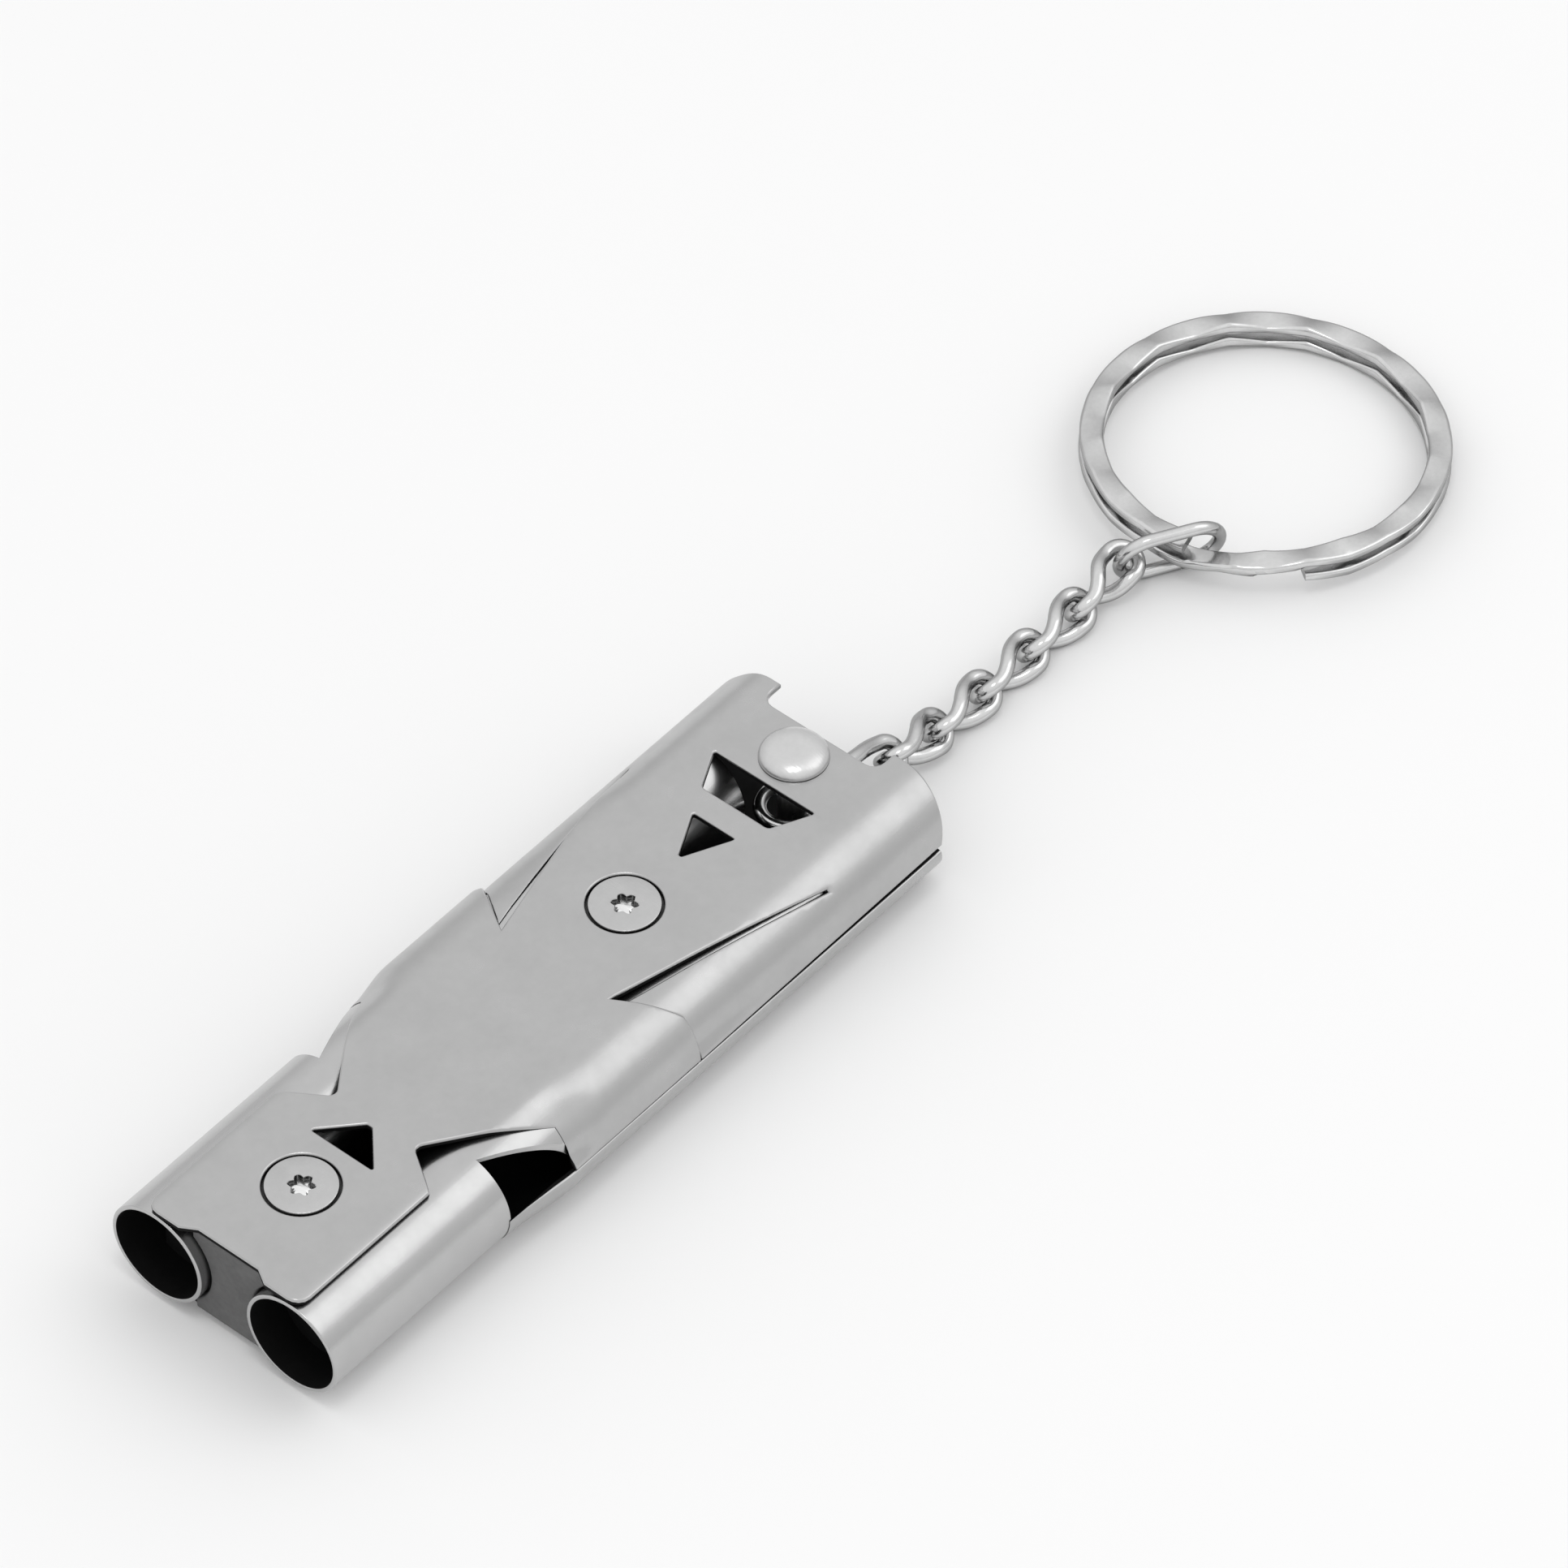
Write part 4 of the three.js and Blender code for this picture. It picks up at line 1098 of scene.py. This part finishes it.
def surface(name, colour, roughness, metallic, mottle, grain, tones, rough_range, bump):
    """A material whose tone, roughness and height vary over the surface."""
    material = bpy.data.materials.new(name)
    material.use_nodes = True
    tree = material.node_tree
    shader = tree.nodes["Principled BSDF"]
    shader.inputs["Metallic"].default_value = metallic
    dark, light = [(*[channel * tone for channel in colour], 1) for tone in tones]
    place = new_node(tree, "ShaderNodeTexCoord")
    clouds = new_node(tree, "ShaderNodeGroup", {"Scale": mottle}, node_tree=mottle_group())
    scratches = new_node(tree, "ShaderNodeGroup", {"Stretch": grain}, node_tree=grain_group())
    tint = new_node(tree, "ShaderNodeMix", {FIRST_COLOUR: dark, SECOND_COLOUR: light}, data_type="RGBA")
    rough = new_node(
        tree, "ShaderNodeMapRange", {"To Min": roughness + rough_range, "To Max": roughness - rough_range})
    relief = new_node(tree, "ShaderNodeBump", {"Strength": bump, "Distance": RELIEF})
    join(
        tree,
        (place, "Object", clouds, "Vector"),
        (place, "Object", scratches, "Vector"),
        (clouds, "Tone", tint, FACTOR),
        (tint, MIXED_COLOUR, shader, "Base Color"),
        (clouds, "Tone", rough, "Value"),
        (rough, 0, shader, "Roughness"),
        (scratches, "Height", relief, "Height"),
        (relief, 0, shader, "Normal"))
    return material


def kept(name, make):
    """A material made once and shared."""
    if name in bpy.data.materials:
        return bpy.data.materials[name]
    return make()


def cover_steel(finish):
    """Satin sheet with fine grain along the body."""
    name = "Cover steel"
    return kept(name, lambda: surface(
        name, finish.cover_colour, finish.cover_roughness, metallic=1, mottle=260, grain=(900, 5200, 5200),
        tones=(0.95, 1.04), rough_range=0.04, bump=0.25))


def pipe_steel(finish):
    """Drawn pipe, smoother than the covers, with lines along it."""
    name = "Pipe steel"
    return kept(name, lambda: surface(
        name, finish.pipe_colour, finish.pipe_roughness, metallic=1, mottle=220, grain=(260, 6500, 6500),
        tones=(0.96, 1.04), rough_range=0.03, bump=0.2))


def painted_shade_steel(finish):
    """Dull, near-black steel that paints shade on the faces inside the body and in its cuts."""
    name = "Painted inside shade steel"

    def make():
        material = surface(
            name, finish.inside_shade_colour, roughness=0.7, metallic=0.2, mottle=300, grain=(3000, 3000, 3000),
            tones=(0.7, 1.4), rough_range=0.08, bump=0.3)
        shader = material.node_tree.nodes["Principled BSDF"]
        shader.inputs["Specular IOR Level"].default_value = 0.1
        return material
    return kept(name, make)


def wire_steel(finish):
    """Bright plated wire with faint draw marks, and painted shade where it turns away from the eye."""
    name = "Wire steel"

    def make():
        material = surface(
            name, finish.wire_colour, finish.wire_roughness, metallic=1, mottle=700,
            grain=(2600, 2600, 2600), tones=(0.93, 1.05), rough_range=0.05, bump=0.25)
        tree = material.node_tree
        shader = tree.nodes["Principled BSDF"]
        tint = shader.inputs["Base Color"].links[0].from_node
        # Painted shade: the colour falls towards the wire shade where the surface turns away from the eye
        slant = new_node(tree, "ShaderNodeLayerWeight", {"Blend": 0.5})
        fall = new_node(tree, "ShaderNodeMapRange", {"From Min": 0.2, "From Max": 0.8})
        wire_painted_shade = new_node(
            tree, "ShaderNodeMix", {SECOND_COLOUR: (*finish.wire_shade, 1)}, data_type="RGBA",
            blend_type="MULTIPLY")
        join(
            tree,
            (slant, "Facing", fall, "Value"),
            (fall, 0, wire_painted_shade, FACTOR),
            (tint, MIXED_COLOUR, wire_painted_shade, FIRST_COLOUR),
            (wire_painted_shade, MIXED_COLOUR, shader, "Base Color"))
        return material
    return kept(name, make)


def dark_plastic(finish):
    """Matte moulded plastic."""
    name = "Dark plastic"
    return kept(name, lambda: surface(
        name, finish.block_colour, roughness=0.62, metallic=0, mottle=500, grain=(7000, 7000, 7000),
        tones=(0.85, 1.15), rough_range=0.08, bump=0.4))


def turned_steel(name, colour, axis_x):
    """Lathe-turned steel with fine rings about its own upright axis."""
    def make():
        material = surface(
            name, colour, roughness=0.3, metallic=1, mottle=420, grain=(4000, 4000, 4000),
            tones=(0.94, 1.05), rough_range=0.04, bump=0.2)
        tree = material.node_tree
        place = new_node(tree, "ShaderNodeTexCoord")
        centred = new_node(tree, "ShaderNodeMapping", {"Location": (-axis_x, 0, 0)})
        rings = new_node(
            tree, "ShaderNodeTexWave", {"Scale": 1500.0, "Distortion": 0.6}, wave_type="RINGS",
            rings_direction="Z")
        relief = new_node(tree, "ShaderNodeBump", {"Strength": 0.12, "Distance": RELIEF})
        shader = tree.nodes["Principled BSDF"]
        scratched = shader.inputs["Normal"].links[0].from_node
        join(
            tree,
            (place, "Object", centred, "Vector"),
            (centred, 0, rings, "Vector"),
            (rings, "Fac", relief, "Height"),
            (scratched, 0, relief, "Normal"),
            (relief, 0, shader, "Normal"))
        return material
    return kept(name, make)


# Stage

def white_world(scene):
    """A studio world: white where it is seen, duller towards the horizon where it is mirrored."""
    world = bpy.data.worlds.new("Studio")
    scene.world = world
    world.use_nodes = True
    tree = world.node_tree
    tree.nodes.clear()
    white = (1, 1, 1, 1)
    dull = (HORIZON.grey, HORIZON.grey, HORIZON.grey, 1)
    rays = new_node(tree, "ShaderNodeLightPath")
    place = new_node(tree, "ShaderNodeTexCoord")
    parts = new_node(tree, "ShaderNodeSeparateXYZ")
    height = new_node(tree, "ShaderNodeMapRange", {"From Min": HORIZON.low, "From Max": HORIZON.high})
    shade = new_node(tree, "ShaderNodeMix", {FIRST_COLOUR: dull, SECOND_COLOUR: white}, data_type="RGBA")
    lit = new_node(tree, "ShaderNodeBackground", {"Color": white, "Strength": AMBIENT})
    mirrored = new_node(tree, "ShaderNodeBackground", {"Strength": 1.0})
    seen = new_node(tree, "ShaderNodeBackground", {"Color": white, "Strength": 1.0})
    bounced = new_node(tree, "ShaderNodeMath", operation="MAXIMUM")
    by_mirror = new_node(tree, "ShaderNodeMixShader")
    by_eye = new_node(tree, "ShaderNodeMixShader")
    out = new_node(tree, "ShaderNodeOutputWorld")
    join(
        tree,
        (place, "Generated", parts, 0),
        (parts, "Z", height, "Value"),
        (height, 0, shade, FACTOR),
        (shade, MIXED_COLOUR, mirrored, "Color"),
        (rays, "Is Glossy Ray", bounced, 0),
        (rays, "Is Transmission Ray", bounced, 1),
        (bounced, 0, by_mirror, 0),
        (lit, 0, by_mirror, 1),
        (mirrored, 0, by_mirror, 2),
        (rays, "Is Camera Ray", by_eye, 0),
        (by_mirror, 0, by_eye, 1),
        (seen, 0, by_eye, 2),
        (by_eye, 0, out, "Surface"))


def add_lamp(lamp, power, aim):
    """A soft square lamp that points at a place."""
    data = bpy.data.lights.new(lamp.name, "AREA")
    data.energy = power
    data.size = lamp.size
    light = bpy.data.objects.new(lamp.name, data)
    bpy.context.scene.collection.objects.link(light)
    light.location = lamp.place
    light.rotation_euler = (aim - Vector(lamp.place)).to_track_quat("-Z", "Y").to_euler()


def add_floor(stage):
    """A plain pale floor under the object."""
    bm = bmesh.new()
    bmesh.ops.create_grid(bm, x_segments=1, y_segments=1, size=stage.floor_size / 2)
    mesh = bpy.data.meshes.new("floor")
    bm.to_mesh(mesh)
    bm.free()
    floor = bpy.data.objects.new("floor", mesh)
    bpy.context.scene.collection.objects.link(floor)
    mesh.materials.append(surface(
        "Floor", stage.floor_colour, roughness=0.95, metallic=0, mottle=9, grain=(20, 20, 20),
        tones=(0.995, 1.005), rough_range=0.02, bump=0.0))


def add_camera(stage, middle):
    """The camera that the photograph was taken from."""
    cosine = math.cos(stage.elevation)
    back = Vector((
        math.sin(stage.azimuth) * cosine, -math.cos(stage.azimuth) * cosine, math.sin(stage.elevation)))
    right = Vector((math.cos(stage.azimuth), math.sin(stage.azimuth), 0))
    up = back.cross(right)
    data = bpy.data.cameras.new("Camera")
    data.sensor_width = SENSOR_WIDTH
    data.lens = stage.lens
    data.clip_start, data.clip_end = CAMERA_REACH
    camera = bpy.data.objects.new("Camera", data)
    bpy.context.scene.collection.objects.link(camera)
    camera.location = middle + right * stage.shift_right + up * stage.shift_up + back * stage.distance
    camera.rotation_euler = Matrix((right, up, back)).transposed().to_euler()
    bpy.context.scene.camera = camera


class WHISTLE_OT_add_stage(Operator):
    """Adds the floor, the light and the camera"""
    bl_idname = "whistle.add_stage"
    bl_label = "Add stage"

    def execute(self, context):
        stage = context.scene.whistle_stage
        body = in_millimetres(context.scene.whistle_body)
        middle = Vector((LOOK_AHEAD, 0, body.wrap_radius)) * MM
        context.scene.view_settings.view_transform = "Standard"
        white_world(context.scene)
        add_floor(stage)
        add_lamp(SIDE_LAMP, stage.key_power, middle)
        add_lamp(TOP_LAMP, stage.fill_power, middle)
        add_camera(stage, middle)
        return {"FINISHED"}


class WHISTLE_PT_panel(Panel):
    """Lists the whistle's steps and sizes"""
    bl_label = "Emergency whistle"
    bl_idname = "WHISTLE_PT_panel"
    bl_space_type = "VIEW_3D"
    bl_region_type = "UI"
    bl_category = "Whistle"

    def draw(self, context):
        for operator in OPERATORS:
            self.layout.operator(operator.bl_idname)
        for name, group in GROUPS:
            box = self.layout.box()
            box.label(text=group.__doc__)
            for prop in group.__annotations__:
                box.prop(getattr(context.scene, name), prop)


GROUPS = (
    ("whistle_body", WhistleBody),
    ("whistle_fasteners", WhistleFasteners),
    ("whistle_chain", WhistleChain),
    ("whistle_ring", WhistleRing),
    ("whistle_finish", WhistleFinish),
    ("whistle_stage", WhistleStage),
)
OPERATORS = (
    WHISTLE_OT_add_covers,
    WHISTLE_OT_add_pipes,
    WHISTLE_OT_add_blocks,
    WHISTLE_OT_add_fasteners,
    WHISTLE_OT_add_chain,
    WHISTLE_OT_add_ring,
    WHISTLE_OT_add_stage,
)


def register():
    """Adds the classes and the scene's settings."""
    for name, group in GROUPS:
        bpy.utils.register_class(group)
        setattr(bpy.types.Scene, name, PointerProperty(type=group))
    for operator in OPERATORS:
        bpy.utils.register_class(operator)
    bpy.utils.register_class(WHISTLE_PT_panel)


def unregister():
    """Takes away what register added."""
    bpy.utils.unregister_class(WHISTLE_PT_panel)
    for operator in reversed(OPERATORS):
        bpy.utils.unregister_class(operator)
    for name, group in reversed(GROUPS):
        delattr(bpy.types.Scene, name)
        bpy.utils.unregister_class(group)


def main():
    """Builds the whole scene."""
    register()
    bpy.ops.whistle.add_covers()
    bpy.ops.whistle.add_pipes()
    bpy.ops.whistle.add_blocks()
    bpy.ops.whistle.add_fasteners()
    bpy.ops.whistle.add_chain()
    bpy.ops.whistle.add_ring()
    bpy.ops.whistle.add_stage()


if __name__ == "__main__":
    main()
